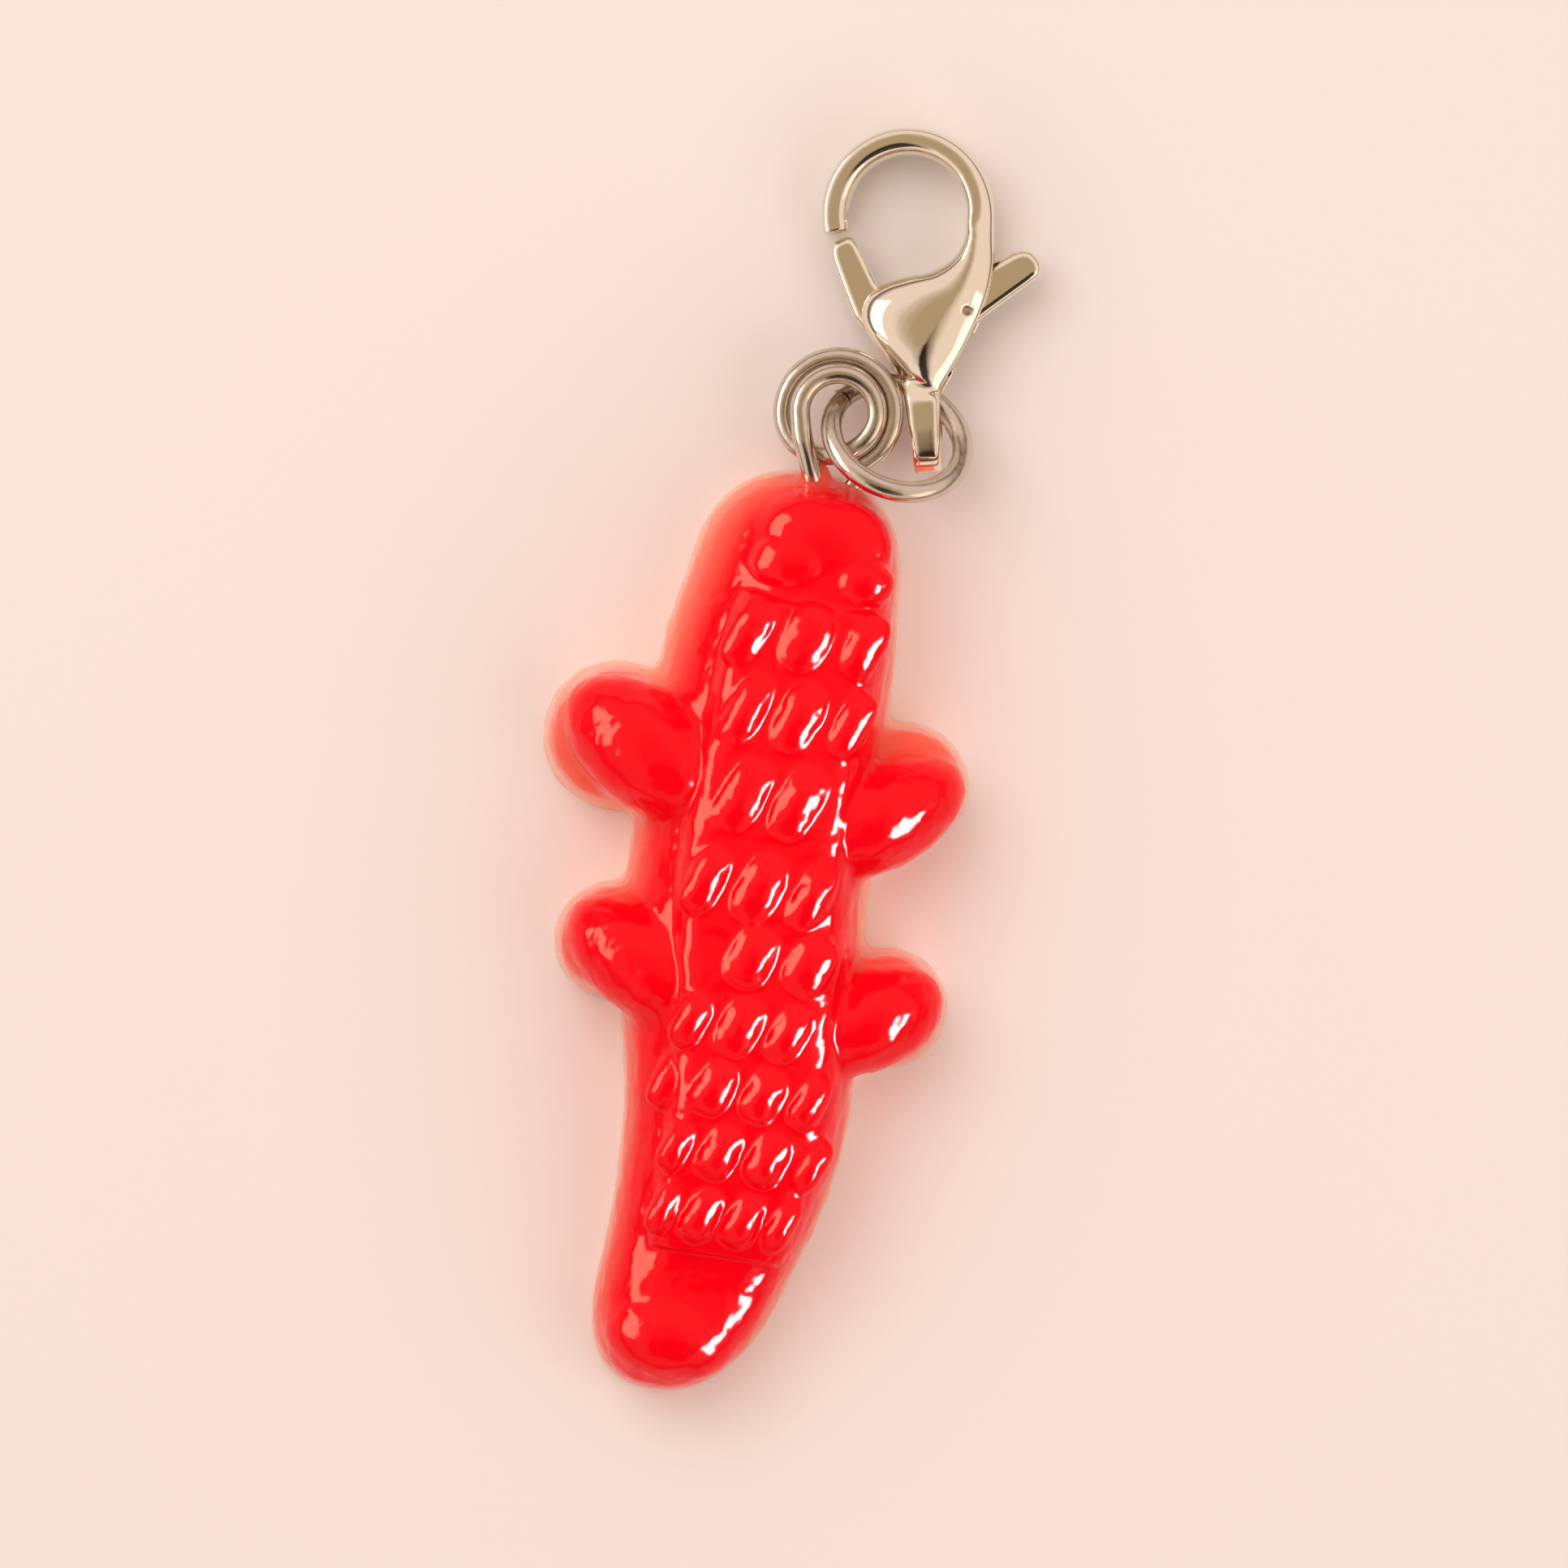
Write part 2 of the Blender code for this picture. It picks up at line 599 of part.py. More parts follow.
def clasp_rings():
    rings = []
    centre = Vector(HOOK_CENTRE)
    for step in range(HOOK_STEPS + 1):
        share = step / HOOK_STEPS
        angle = radians(HOOK_TIP_ANGLE + (HOOK_ROOT_ANGLE - HOOK_TIP_ANGLE) * share)
        way = Vector((cos(angle), sin(angle)))
        shape = [along_hook(values, share) for values in zip(*HOOK_SHAPE)]
        rings.append(rung(centre + HOOK_INNER * way, centre + HOOK_OUTER * way,
                          along_hook(HOOK_HALF_THICK, share), *shape))
    for inner, outer, half_thick, crest, power_out in BODY_RUNGS:
        rings.append(rung(inner, outer, half_thick, crest, BODY_POWER, power_out, BODY_EDGE))
    neck, end = TAIL_HALF_WIDTH
    round_from = TAIL_END + TAIL_EDGE
    for step in range(TAIL_STEPS + 1):
        angle = pi / 2 * step / TAIL_STEPS
        y = TAIL_NECK + (TAIL_END + 0.04 - TAIL_NECK) * sin(angle)
        share = (TAIL_NECK - y) / (TAIL_NECK - TAIL_END)
        thick = TAIL_HALF_THICK
        if y < round_from:
            thick += sqrt(max(TAIL_EDGE**2 - (round_from - y) ** 2, 0.0)) - TAIL_EDGE
        half = neck + (end - neck) * share
        rings.append(rung((-half, y), (half, y), thick, 0.0, TAIL_POWER, TAIL_POWER, 0.0))
    return rings


def groove_outline():
    """Part of a flat ring round the pivot: the room that the gate's end sweeps through."""
    near, far = GROOVE_RADII
    first, last = GROOVE_ANGLES
    points = []
    for radius, start, stop in ((near, first, last), (far, last, first)):
        for step in range(GROOVE_STEPS + 1):
            angle = radians(start + (stop - start) * step / GROOVE_STEPS)
            points.append((PIVOT[0] + radius * cos(angle), PIVOT[1] + radius * sin(angle)))
    return points


def rod(name, radius, length):
    """Cylinder round the pivot, in the clasp's frame."""
    bm = bmesh.new()
    bmesh.ops.create_cone(bm, cap_ends=True, segments=32, depth=mm(length),
                          radius1=mm(radius), radius2=mm(radius),
                          matrix=Matrix.Translation(mm((*PIVOT, 0))))
    return mesh_from(bm, name)


def slot_outline(low, high, width, radius, steps=6):
    """Round-cornered slot along Y, as points (across, along)."""
    half = width / 2 - radius
    corners = ((half, high - radius), (-half, high - radius), (-half, low + radius), (half, low + radius))
    points = []
    for quarter, (x, y) in enumerate(corners):
        for step in range(steps + 1):
            angle = pi / 2 * (quarter + step / steps)
            points.append((x + radius * cos(angle), y + radius * sin(angle)))
    return points


def clasp(group, cutters):
    """The clasp's pieces, under empties on the axes that they turn about."""
    attitude = (
        Matrix.Rotation(radians(CLASP_TURN), 3, "Z")
        @ Matrix.Rotation(radians(-CLASP_DIP), 3, "X")
        @ Matrix.Rotation(radians(-CLASP_ROLL), 3, "Y")
    )
    swivel = put("clasp_swivel", None, group, None, CLASP_SWIVEL)
    swivel.rotation_euler = attitude.to_euler()
    home = attitude.transposed() @ (Vector(CLASP_PLACE) - Vector(CLASP_SWIVEL))
    hinge = put("lever_pivot", None, group, swivel, home + Vector((*PIVOT, 0)))
    from_hinge = (-PIVOT[0], -PIVOT[1], 0)

    body = put("clasp_body", loft(clasp_rings(), "clasp_body"), group, swivel, home)
    slot = plate("ring_slot", slot_outline(*TAIL_SLOT, TAIL_SLOT_HEIGHT, TAIL_SLOT_CORNER),
                 CUTTER_LENGTH)
    slot.transform(Matrix.Rotation(pi / 2, 4, "Y"))
    for mesh in (
        plate("lever_room", LEVER_ROOM_OUTLINE, LEVER_ROOM),
        slot,
        plate("tip_groove", groove_outline(), LEVER_ROOM),
        rod("pivot_hole", PIVOT_HOLE_RADIUS, CUTTER_LENGTH),
    ):
        cut(body, cutter(mesh.name, mesh, cutters, swivel, home))

    lever = put("clasp_lever", plate("clasp_lever", LEVER_OUTLINE, LEVER_THICK, LEVER_BEVEL),
                group, hinge, from_hinge)
    hole = rod("lever_hole", PIVOT_HOLE_RADIUS, CUTTER_LENGTH)
    cut(lever, cutter("lever_hole", hole, cutters, hinge, from_hinge))
    pin = put("pivot_pin", rod("pivot_pin", PIVOT_PIN_RADIUS, PIVOT_PIN_LENGTH),
              group, swivel, home)
    return body, lever, pin


# --------------------------------------------------------------------- build

def main():
    for old in list(bpy.data.objects):
        bpy.data.objects.remove(old, do_unlink=True)
    group = collection("crocodile charm")
    cutters = collection("cutters")
    resin = material("red resin", RESIN, 0.08, 0.0)
    steel = material("polished steel", STEEL, 0.14, 1.0)

    body = crocodile(group, cutters)
    body.data.materials.clear()
    body.data.materials.append(resin)

    eye = put("eye_loop", tube("eye_loop", eye_points(), EYE_WIRE, cutters), group)
    ring_swivel = put("ring_swivel", None, group, None, RING_SWIVEL)
    ring = put("jump_ring", tube("jump_ring", ring_points(), RING_WIRE, cutters), group,
               ring_swivel, -Vector(RING_SWIVEL))
    metal = [eye, ring, *clasp(group, cutters)]
    for piece in metal:
        piece.data.materials.clear()
        piece.data.materials.append(steel)
        piece.data.shade_smooth()
        piece.data.set_sharp_from_angle(angle=radians(40))


main()
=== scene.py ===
# %% [markdown]
# # A clip-on charm: a clear red crocodile on a wire eye, a jump ring and a clasp
#
# The charm is a resin copy of a gummy sweet.  It lies on its flat back, with its
# scaly side up.  Its solid pieces were made before, as a frame of plain parts at
# their real size.  This lesson dresses them: each plain part gets a finer piece
# in the same place, with the finish of the real one.
#
# The frame's axes are the charm's own: +Y runs along the spine to the head, +X to
# the right and +Z up, out of the scaly side.  The origin is on the flat back.

# %% Load the frame
from math import cos, pi, radians, sin, sqrt

import bpy
from mathutils import Matrix, Vector


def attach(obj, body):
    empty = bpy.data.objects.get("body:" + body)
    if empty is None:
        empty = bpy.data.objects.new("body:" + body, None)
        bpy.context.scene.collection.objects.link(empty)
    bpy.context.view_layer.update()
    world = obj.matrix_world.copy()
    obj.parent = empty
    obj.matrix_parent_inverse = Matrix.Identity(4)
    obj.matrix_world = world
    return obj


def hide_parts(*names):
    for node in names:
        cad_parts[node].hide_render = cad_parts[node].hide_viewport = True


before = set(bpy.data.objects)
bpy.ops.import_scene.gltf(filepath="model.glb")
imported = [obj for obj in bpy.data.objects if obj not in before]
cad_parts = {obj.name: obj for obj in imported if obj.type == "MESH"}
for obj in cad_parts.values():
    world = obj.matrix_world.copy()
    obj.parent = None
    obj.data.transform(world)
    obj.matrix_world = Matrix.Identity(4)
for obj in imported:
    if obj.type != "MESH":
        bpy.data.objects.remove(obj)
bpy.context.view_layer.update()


# %% Lengths in millimetres
def mm(value):
    """Millimetres to metres, for a number or a point."""
    if isinstance(value, (tuple, list, Vector)):
        return Vector([0.001 * part for part in value])
    return 0.001 * value


# %% [markdown]
# ## Camera
#
# The charm is seen from straight above.  A long lens from far away keeps the
# side walls out of sight, as a picture of a flat thing on a table does.  The lens
# could also be short and near, but then the tall pieces would lean outwards.  The
# spine leans to the right in the picture, so the camera is turned about its own
# line of sight.

# %% Place the camera
SPINE_LEAN = 9.3                         # degrees that the spine leans in the picture
VIEW_CENTRE = (0.62, 6.67)               # the point that the picture is centred on
VIEW_WIDTH = 68.1                        # how much of the table the picture spans
CAMERA_HEIGHT = 900.0
SENSOR_WIDTH = 36.0

lens = bpy.data.cameras.new("camera")
lens.sensor_width = SENSOR_WIDTH
lens.lens = SENSOR_WIDTH * CAMERA_HEIGHT / VIEW_WIDTH
lens.clip_end = 10.0
camera = bpy.data.objects.new("camera", lens)
bpy.context.scene.collection.objects.link(camera)
camera.location = mm((*VIEW_CENTRE, CAMERA_HEIGHT))
camera.rotation_euler = (0, 0, radians(SPINE_LEAN))
bpy.context.scene.camera = camera
print(f"camera {CAMERA_HEIGHT:.0f} mm up, lens {lens.lens:.0f} mm")

# %% [markdown]
# ## Light and floor
#
# Polished metal and clear resin show mostly what stands round them, so the light
# is planned as things to be mirrored: a window low on the right, a wider one on the
# left, a warm ceiling, which the flat faces mirror, a dark skirting all round, and a
# dark corner at the foot, which gives the steel its black patches.  A single sky
# colour would be simpler, but it makes steel look like grey plastic.
#
# Resin mirrors far less than steel, so each gets windows of its own, in the same two
# places: bright ones for the resin, where the right one gives the white streaks, and
# dim ones for the steel.  Two soft panels light everything and are mirrored in
# nothing.  The floor is a plain pale sheet.


# %% Ranges and runs of colour
def ramp(tree, value, low, high, low_result, high_result):
    """Value of a pattern, moved from one range to another and held at its ends."""
    change = tree.nodes.new("ShaderNodeMapRange")
    change.inputs["From Min"].default_value = low
    change.inputs["From Max"].default_value = high
    change.inputs["To Min"].default_value = low_result
    change.inputs["To Max"].default_value = high_result
    tree.links.new(value, change.inputs["Value"])
    return change.outputs["Result"]


def stops(tree, value, *colours):
    """Colour that runs through several, each given as (share, colour)."""
    run = tree.nodes.new("ShaderNodeValToRGB")
    row = run.color_ramp.elements
    for i, (share, colour) in enumerate(colours):
        stop = row[i] if i < 2 else row.new(share)     # a ramp starts with two stops
        stop.position = share
        stop.color = (*colour, 1.0)
    tree.links.new(value, run.inputs["Fac"])
    return run.outputs["Color"]


# %% Sky: a warm ceiling, pale walls, a dark skirting and one dark corner
CEILING = (0.50, 0.375, 0.235)
WALLS = (0.98, 0.80, 0.70)
SKIRTING = (0.20, 0.14, 0.10)            # mirrored as dark lines along round edges
SKY = (                                  # height, from 0 at the horizon to 1 overhead
    (0.10, SKIRTING),
    (0.32, WALLS),
    (0.83, WALLS),
    (0.955, CEILING),
)
CORNER = (0.088, -0.538, 0.839)          # direction of the dark corner
CORNER_EDGES = (0.88, 0.94)              # cosines of the angles where it starts and is full
CORNER_DARK = 0.06                       # its light, as a share of the sky's

world = bpy.data.worlds.new("room")
bpy.context.scene.world = world
world.use_nodes = True
room = world.node_tree
background = room.nodes["Background"]
direction = room.nodes.new("ShaderNodeTexCoord")
split = room.nodes.new("ShaderNodeSeparateXYZ")
room.links.new(direction.outputs["Generated"], split.inputs["Vector"])
room.links.new(stops(room, split.outputs["Z"], *SKY), background.inputs["Color"])
towards = room.nodes.new("ShaderNodeVectorMath")
towards.operation = "DOT_PRODUCT"
towards.inputs[1].default_value = CORNER
room.links.new(direction.outputs["Generated"], towards.inputs[0])
dimmed = ramp(room, towards.outputs["Value"], *CORNER_EDGES, 1.0, CORNER_DARK)
room.links.new(dimmed, background.inputs["Strength"])
print(f"sky: {len(SKY)} heights and one dark corner")


# %% Light panels
def light_panel(name, azimuth, elevation, distance, size, power, mirrored, tint=(1, 1, 1)):
    """Panel at an azimuth in the picture (0 is its right side), facing the charm.

    A mirrored panel shows in shiny surfaces and lights nothing else; the others
    light everything and show in nothing.
    """
    turn = radians(azimuth + SPINE_LEAN)
    tilt = radians(elevation)
    way = Vector((cos(turn) * cos(tilt), sin(turn) * cos(tilt), sin(tilt)))
    lamp = bpy.data.lights.new(name, "AREA")
    lamp.shape = "RECTANGLE"
    lamp.size, lamp.size_y = mm(size[0]), mm(size[1])
    lamp.energy = power
    lamp.color = tint
    panel = bpy.data.objects.new(name, lamp)
    bpy.context.scene.collection.objects.link(panel)
    panel.location = mm(Vector((*VIEW_CENTRE, 0)) + way * distance)
    panel.rotation_euler = way.to_track_quat("Z", "Y").to_euler()
    panel.visible_glossy = mirrored
    panel.visible_diffuse = not mirrored
    return panel


# %% Windows and soft panels
RIGHT, LEFT = (-28, 31, 320), (165, 29, 320)     # azimuth, elevation and distance
RIGHT_SIZE, LEFT_SIZE = (200, 110), (300, 150)
KEY, FILL = (-28, 40, 400), (130, 60, 500)
KEY_SIZE, FILL_SIZE = (300, 300), (400, 400)
WARM, PALE = (1.0, 0.74, 0.50), (1.0, 0.94, 0.86)

resin_windows = [
    light_panel("resin_window_right", *RIGHT, RIGHT_SIZE, power=5.0, mirrored=True),
    light_panel("resin_window_left", *LEFT, LEFT_SIZE, power=2.0, mirrored=True, tint=WARM),
]
steel_windows = [
    light_panel("steel_window_right", *RIGHT, RIGHT_SIZE, power=0.08, mirrored=True, tint=WARM),
    light_panel("steel_window_left", *LEFT, LEFT_SIZE, power=0.34, mirrored=True, tint=PALE),
]
soft_panels = [
    light_panel("soft_key", *KEY, KEY_SIZE, power=0.24, mirrored=False),
    light_panel("soft_fill", *FILL, FILL_SIZE, power=0.90, mirrored=False),
]
for panel in resin_windows + steel_windows + soft_panels:
    print(f"{panel.name}: {panel.data.energy:.2f} W")

# %% Floor
FLOOR_SIZE = 4000.0
FLOOR_DROP = 0.02                        # it lies just under the charm's flat back
FLOOR_COLOUR = (0.88, 0.83, 0.81)

bpy.ops.mesh.primitive_plane_add(size=mm(FLOOR_SIZE), location=mm((*VIEW_CENTRE, -FLOOR_DROP)))
floor = bpy.context.object
floor.name = "floor"
floor_finish = bpy.data.materials.new("pale floor")
floor_finish.use_nodes = True
floor_shader = floor_finish.node_tree.nodes["Principled BSDF"]
floor_shader.inputs["Base Color"].default_value = (*FLOOR_COLOUR, 1.0)
floor_shader.inputs["Roughness"].default_value = 0.75
floor_shader.inputs["Specular IOR Level"].default_value = 0.0
floor.data.materials.append(floor_finish)

# %% Colours as they are
# The standard view changes no colour on its way to the picture.
bpy.context.scene.view_settings.view_transform = "Standard"
print("view:", bpy.context.scene.view_settings.view_transform)


# %% [markdown]
# ## Finishes
#
# The red resin is clear, so light goes in, is tinted and comes out elsewhere.
# Real glass shading would follow each ray, at a high price and with noise.  Here
# subsurface scattering does it: light spreads a millimetre or two under the
# surface.  The thin side walls let pale light through and look salmon, while the
# thick back is a deep red.  That pale light is painted into the colour, which
# follows the height over the table.  At the table the scattering fades out,
# because it turns a thin edge grey, and a faint painted glow stands for the light
# that comes through there.
#
# Polished steel is a mirror with a warm tint.  The clasp is the brightest, and
# the drawn wire of the ring and the eye is a little duller.


# %% Tools for finishes
def new_finish(name):
    """New material, with its nodes and its shader."""
    finish = bpy.data.materials.new(name)
    finish.use_nodes = True
    return finish, finish.node_tree, finish.node_tree.nodes["Principled BSDF"]


def noise(tree, scale, detail, stretch=(1, 1, 1), turn=(0, 0, 0)):
    """Noise fixed to the piece, with scale in grains per millimetre."""
    place = tree.nodes.new("ShaderNodeTexCoord")
    fit = tree.nodes.new("ShaderNodeMapping")
    fit.inputs["Scale"].default_value = [1000 * scale * part for part in stretch]
    fit.inputs["Rotation"].default_value = [radians(part) for part in turn]
    grain = tree.nodes.new("ShaderNodeTexNoise")
    grain.inputs["Scale"].default_value = 1.0
    grain.inputs["Detail"].default_value = detail
    tree.links.new(place.outputs["Object"], fit.inputs["Vector"])
    tree.links.new(fit.outputs["Vector"], grain.inputs["Vector"])
    return grain.outputs["Fac"]


def blend(tree, share, first, second):
    """Colour between two colours.  Sockets 6 and 7 take them, and 2 gives the result."""
    mix = tree.nodes.new("ShaderNodeMix")
    mix.data_type = "RGBA"
    mix.inputs[6].default_value = (*first, 1.0)
    mix.inputs[7].default_value = (*second, 1.0)
    tree.links.new(share, mix.inputs[0])
    return mix.outputs[2]


def bumps(tree, shader, layers):
    """Stacked bumps, each as (pattern, depth in millimetres)."""
    below = None
    for pattern, depth in layers:
        bump = tree.nodes.new("ShaderNodeBump")
        bump.inputs["Distance"].default_value = mm(depth)
        tree.links.new(pattern, bump.inputs["Height"])
        if below:
            tree.links.new(below, bump.inputs["Normal"])
        below = bump.outputs["Normal"]
    tree.links.new(below, shader.inputs["Normal"])


# %% Red resin
DEEP_RED = (1.0, 0.001, 0.010)
# The paler reds are painted light: light through the thin walls and off the table, painted into
# the colour by height.
PAINTED_LIGHT_WALL_RED = (1.0, 0.150, 0.095)
PAINTED_LIGHT_FOOT_RED = (1.0, 0.44, 0.30)             # painted light: the thin edge at the table is painted the palest
WALL_HEIGHTS = (0.0, 4.4)                # over these the painted pale light on the walls fades to deep red
TAIL_SHARE = 0.04                        # the tail is lower, so it turns red sooner
REDS_WITH_PAINTED_LIGHT = ((0.08, PAINTED_LIGHT_FOOT_RED), (0.60, PAINTED_LIGHT_WALL_RED), (1.0, DEEP_RED))     # by share of those heights; the paler reds are painted light
EDGE_GLOW = 0.07                         # painted glow for the light that comes through the thin edge
GLOW_SHARES = (0.0, 0.8)                 # where the glow starts to fade, and is gone
SCATTER = 0.6
SCATTER_SHARES = (0.0, 0.5)              # where scattering starts, and is full
SPREAD = 1.6                             # how far the red light spreads
SHINE = 0.16                             # how strongly the resin mirrors

resin, tree, shader = new_finish("clear red resin")
place = tree.nodes.new("ShaderNodeTexCoord")
axes = tree.nodes.new("ShaderNodeSeparateXYZ")
tree.links.new(place.outputs["Object"], axes.inputs["Vector"])
lean = tree.nodes.new("ShaderNodeMath")
lean.operation = "MULTIPLY_ADD"
lean.inputs[1].default_value = -TAIL_SHARE
tree.links.new(axes.outputs["Y"], lean.inputs[0])
tree.links.new(axes.outputs["Z"], lean.inputs[2])
height_share = ramp(tree, lean.outputs["Value"], *mm(WALL_HEIGHTS), 0.0, 1.0)
# Painted light: the walls are painted paler towards the table, for light that comes through the
# thin resin.
tree.links.new(stops(tree, height_share, *REDS_WITH_PAINTED_LIGHT), shader.inputs["Base Color"])
# Painted glow near the table, for light that comes through the thin edge.
glow = ramp(tree, height_share, *GLOW_SHARES, EDGE_GLOW, 0.0)
tree.links.new(glow, shader.inputs["Emission Strength"])
shader.inputs["Emission Color"].default_value = (*PAINTED_LIGHT_FOOT_RED, 1.0)
shader.inputs["Roughness"].default_value = 0.10
shader.inputs["IOR"].default_value = 1.5
shader.inputs["Specular IOR Level"].default_value = SHINE
scatter = ramp(tree, height_share, *SCATTER_SHARES, 0.0, SCATTER)
tree.links.new(scatter, shader.inputs["Subsurface Weight"])
shader.inputs["Subsurface Radius"].default_value = (1.0, 0.12, 0.08)
shader.inputs["Subsurface Scale"].default_value = mm(SPREAD)
bumps(tree, shader, (
    (noise(tree, scale=1.5, detail=1.0), 0.010),
    (noise(tree, scale=4.5, detail=2.0), 0.007),
))

# %% Polished steel
STEEL_TINT = (0.85, 0.78, 0.66)
STEEL_SMEARS, STEEL_ROUGHNESS = (0.35, 0.75), (0.06, 0.12)      # fine smears dull it a little

steel, tree, shader = new_finish("polished steel")
shader.inputs["Metallic"].default_value = 1.0
shader.inputs["Base Color"].default_value = (*STEEL_TINT, 1.0)
smear = noise(tree, scale=1.2, detail=4.0)
dullness = ramp(tree, smear, *STEEL_SMEARS, *STEEL_ROUGHNESS)
tree.links.new(dullness, shader.inputs["Roughness"])
bumps(tree, shader, (
    (noise(tree, scale=0.45, detail=1.0), 0.020),
    (noise(tree, scale=9.0, detail=3.0, stretch=(1, 0.06, 1), turn=(0, 0, 25)), 0.0005),
))

# %% Drawn steel wire
WIRE_DARK, WIRE_PALE = (0.56, 0.48, 0.40), (0.72, 0.64, 0.55)
WIRE_SMEARS, WIRE_ROUGHNESS = (0.3, 0.75), (0.14, 0.27)

wire_steel, tree, shader = new_finish("steel wire")
shader.inputs["Metallic"].default_value = 1.0
smear = noise(tree, scale=2.2, detail=5.0)
tree.links.new(blend(tree, smear, WIRE_DARK, WIRE_PALE), shader.inputs["Base Color"])
dullness = ramp(tree, smear, *WIRE_SMEARS, *WIRE_ROUGHNESS)
tree.links.new(dullness, shader.inputs["Roughness"])
bumps(tree, shader, (
    (noise(tree, scale=1.6, detail=2.0), 0.014),
    (noise(tree, scale=12.0, detail=4.0), 0.0012),
))
print("finishes:", ", ".join(m.name for m in (resin, steel, wire_steel, floor_finish)))


# %% [markdown]
# ## Tools for shaping
#
# Every piece starts as a primitive, and the wires as curves.  Two tools are used
# over and over.  One rolls a flat grid up into a closed body, whose sections follow
# a rule.  The other fuses overlapping bodies into one skin, as clay is pressed
# together: a voxel remesh joins them, and some rounds of smoothing soften the joins.

# %% Select, join and apply
def select(*objects):
    """Selects just these objects, and makes the first one active."""
    bpy.ops.object.select_all(action="DESELECT")
    for item in objects:
        item.select_set(True)
    bpy.context.view_layer.objects.active = objects[0]


def join(name, objects):
    """Joins objects into one piece that sits at the origin, unturned and unscaled."""
    select(*objects)
    if len(objects) > 1:
        bpy.ops.object.join()
    joined = bpy.context.object
    joined.name = name
    bpy.ops.object.transform_apply(location=True, rotation=True, scale=True)
    return joined


def finish_modifier(piece, kind, **settings):
    """Adds a modifier with its settings and applies it."""
    select(piece)
    modifier = piece.modifiers.new(kind.title(), kind)
    for setting, value in settings.items():
        setattr(modifier, setting, value)
    bpy.ops.object.modifier_apply(modifier=modifier.name)


def fuse(piece, voxel, rounds):
    """Melts a piece's bodies into one skin, then smooths it for some rounds."""
    finish_modifier(piece, "REMESH", mode="VOXEL", voxel_size=mm(voxel))
    finish_modifier(piece, "SMOOTH", factor=0.5, iterations=rounds)
    print(f"{piece.name}: fused at {voxel} mm, {len(piece.data.polygons)} faces")


def dress(piece, finish, soft_edge=180):
    """Gives a piece its finish and smooth shading, with sharp edges over an angle."""
    select(piece)
    piece.data.materials.clear()
    piece.data.materials.append(finish)
    bpy.ops.object.shade_smooth_by_angle(angle=radians(soft_edge))


# %% Roll a grid up into a closed body
def rolled(name, around, along, place):
    """Closed body.  place(a, b) gives the point at a share a round and b along it."""
    bpy.ops.mesh.primitive_grid_add(x_subdivisions=around, y_subdivisions=along, size=1)
    piece = bpy.context.object
    piece.name = name
    for vertex in piece.data.vertices:
        vertex.co = mm(place(vertex.co.x + 0.5, vertex.co.y + 0.5))
    # The seam is merged, and then both open ends are filled.
    bpy.ops.object.mode_set(mode="EDIT")
    bpy.ops.mesh.select_all(action="SELECT")
    bpy.ops.mesh.remove_doubles(threshold=1e-6)
    bpy.ops.mesh.select_all(action="DESELECT")
    bpy.ops.mesh.select_mode(type="EDGE")
    bpy.ops.mesh.select_non_manifold(extend=False)
    bpy.ops.mesh.fill_holes(sides=0)
    bpy.ops.mesh.select_all(action="SELECT")
    bpy.ops.mesh.normals_make_consistent(inside=False)
    bpy.ops.object.mode_set(mode="OBJECT")
    return piece


# %% Smooth values between stations
def between(rows, place):
    """Values of a table at a place along its first column, smoothly joined."""
    ordered = sorted(rows)
    place = min(max(place, ordered[0][0]), ordered[-1][0])
    for i in range(len(ordered) - 1):
        if place <= ordered[i + 1][0]:
            break
    before = ordered[max(i - 1, 0)]
    start, stop = ordered[i], ordered[i + 1]
    after = ordered[min(i + 2, len(ordered) - 1)]
    span = stop[0] - start[0]
    t = (place - start[0]) / span
    values = []
    for k in range(1, len(start)):
        slope_in = (stop[k] - before[k]) / (stop[0] - before[0]) * span
        slope_out = (after[k] - start[k]) / (after[0] - start[0]) * span
        values.append(
            (2 * t**3 - 3 * t**2 + 1) * start[k] + (t**3 - 2 * t**2 + t) * slope_in
            + (3 * t**2 - 2 * t**3) * stop[k] + (t**3 - t**2) * slope_out
        )
    return values


# %% [markdown]
# ## The crocodile's trunk and feet
#
# The real body was cast in an open mould: flat at the back, with a plump back and
# four round feet.  It could be sculpted freely, but then the outline would drift.
# Instead a grid is rolled into the trunk by a table of stations from head to
# tail, each with its two edges, its ridge line and its height.  The left flank
# slopes, and the right one is steep.  The feet are short cones.  Everything runs
# on below the table for now, so that one cut at the end makes the back flat.

# %% Trunk
TRUNK = (                                # place, left edge, right edge, ridge, height, left power
    (20.25, -4.55, 4.15, 1.05, 6.1, 2.1),
    (15.6, -5.00, 4.20, 1.00, 6.3, 2.1),
    (12.6, -5.50, 4.55, 0.70, 6.5, 2.2),
    (8.0, -5.60, 4.60, 0.35, 6.7, 2.3),
    (2.6, -5.55, 4.80, 0.35, 6.7, 2.3),
    (-2.0, -5.20, 5.30, 0.80, 6.5, 2.5),
    (-7.8, -4.05, 5.75, 1.35, 6.1, 3.1),
    (-12.0, -3.80, 5.10, 1.20, 5.6, 3.3),
    (-15.5, -3.95, 4.00, 0.60, 4.9, 3.2),
    (-20.15, -4.30, 2.60, -0.70, 5.0, 2.8),
)
HEAD_ROUND, TAIL_ROUND = 4.7, 4.6        # lengths of the rounded ends
END_POWER = 2.4                          # roundness of both ends, seen from above
HEAD_TOP_POWER, TAIL_TOP_POWER = 3.2, 4.0        # and seen from the side
RIGHT_POWER, CREST_POWER = 4.6, 2.3      # roundness of the right flank and of the crest
SINK = 2.0                               # how far the rough body runs on below the table
TROUGH_POWER = 0.2                       # its part below the table is nearly square
END_GAP = 0.01                           # share of the roll left out at each end
NEAR_END = 0.999                         # a section at the very end would have no width


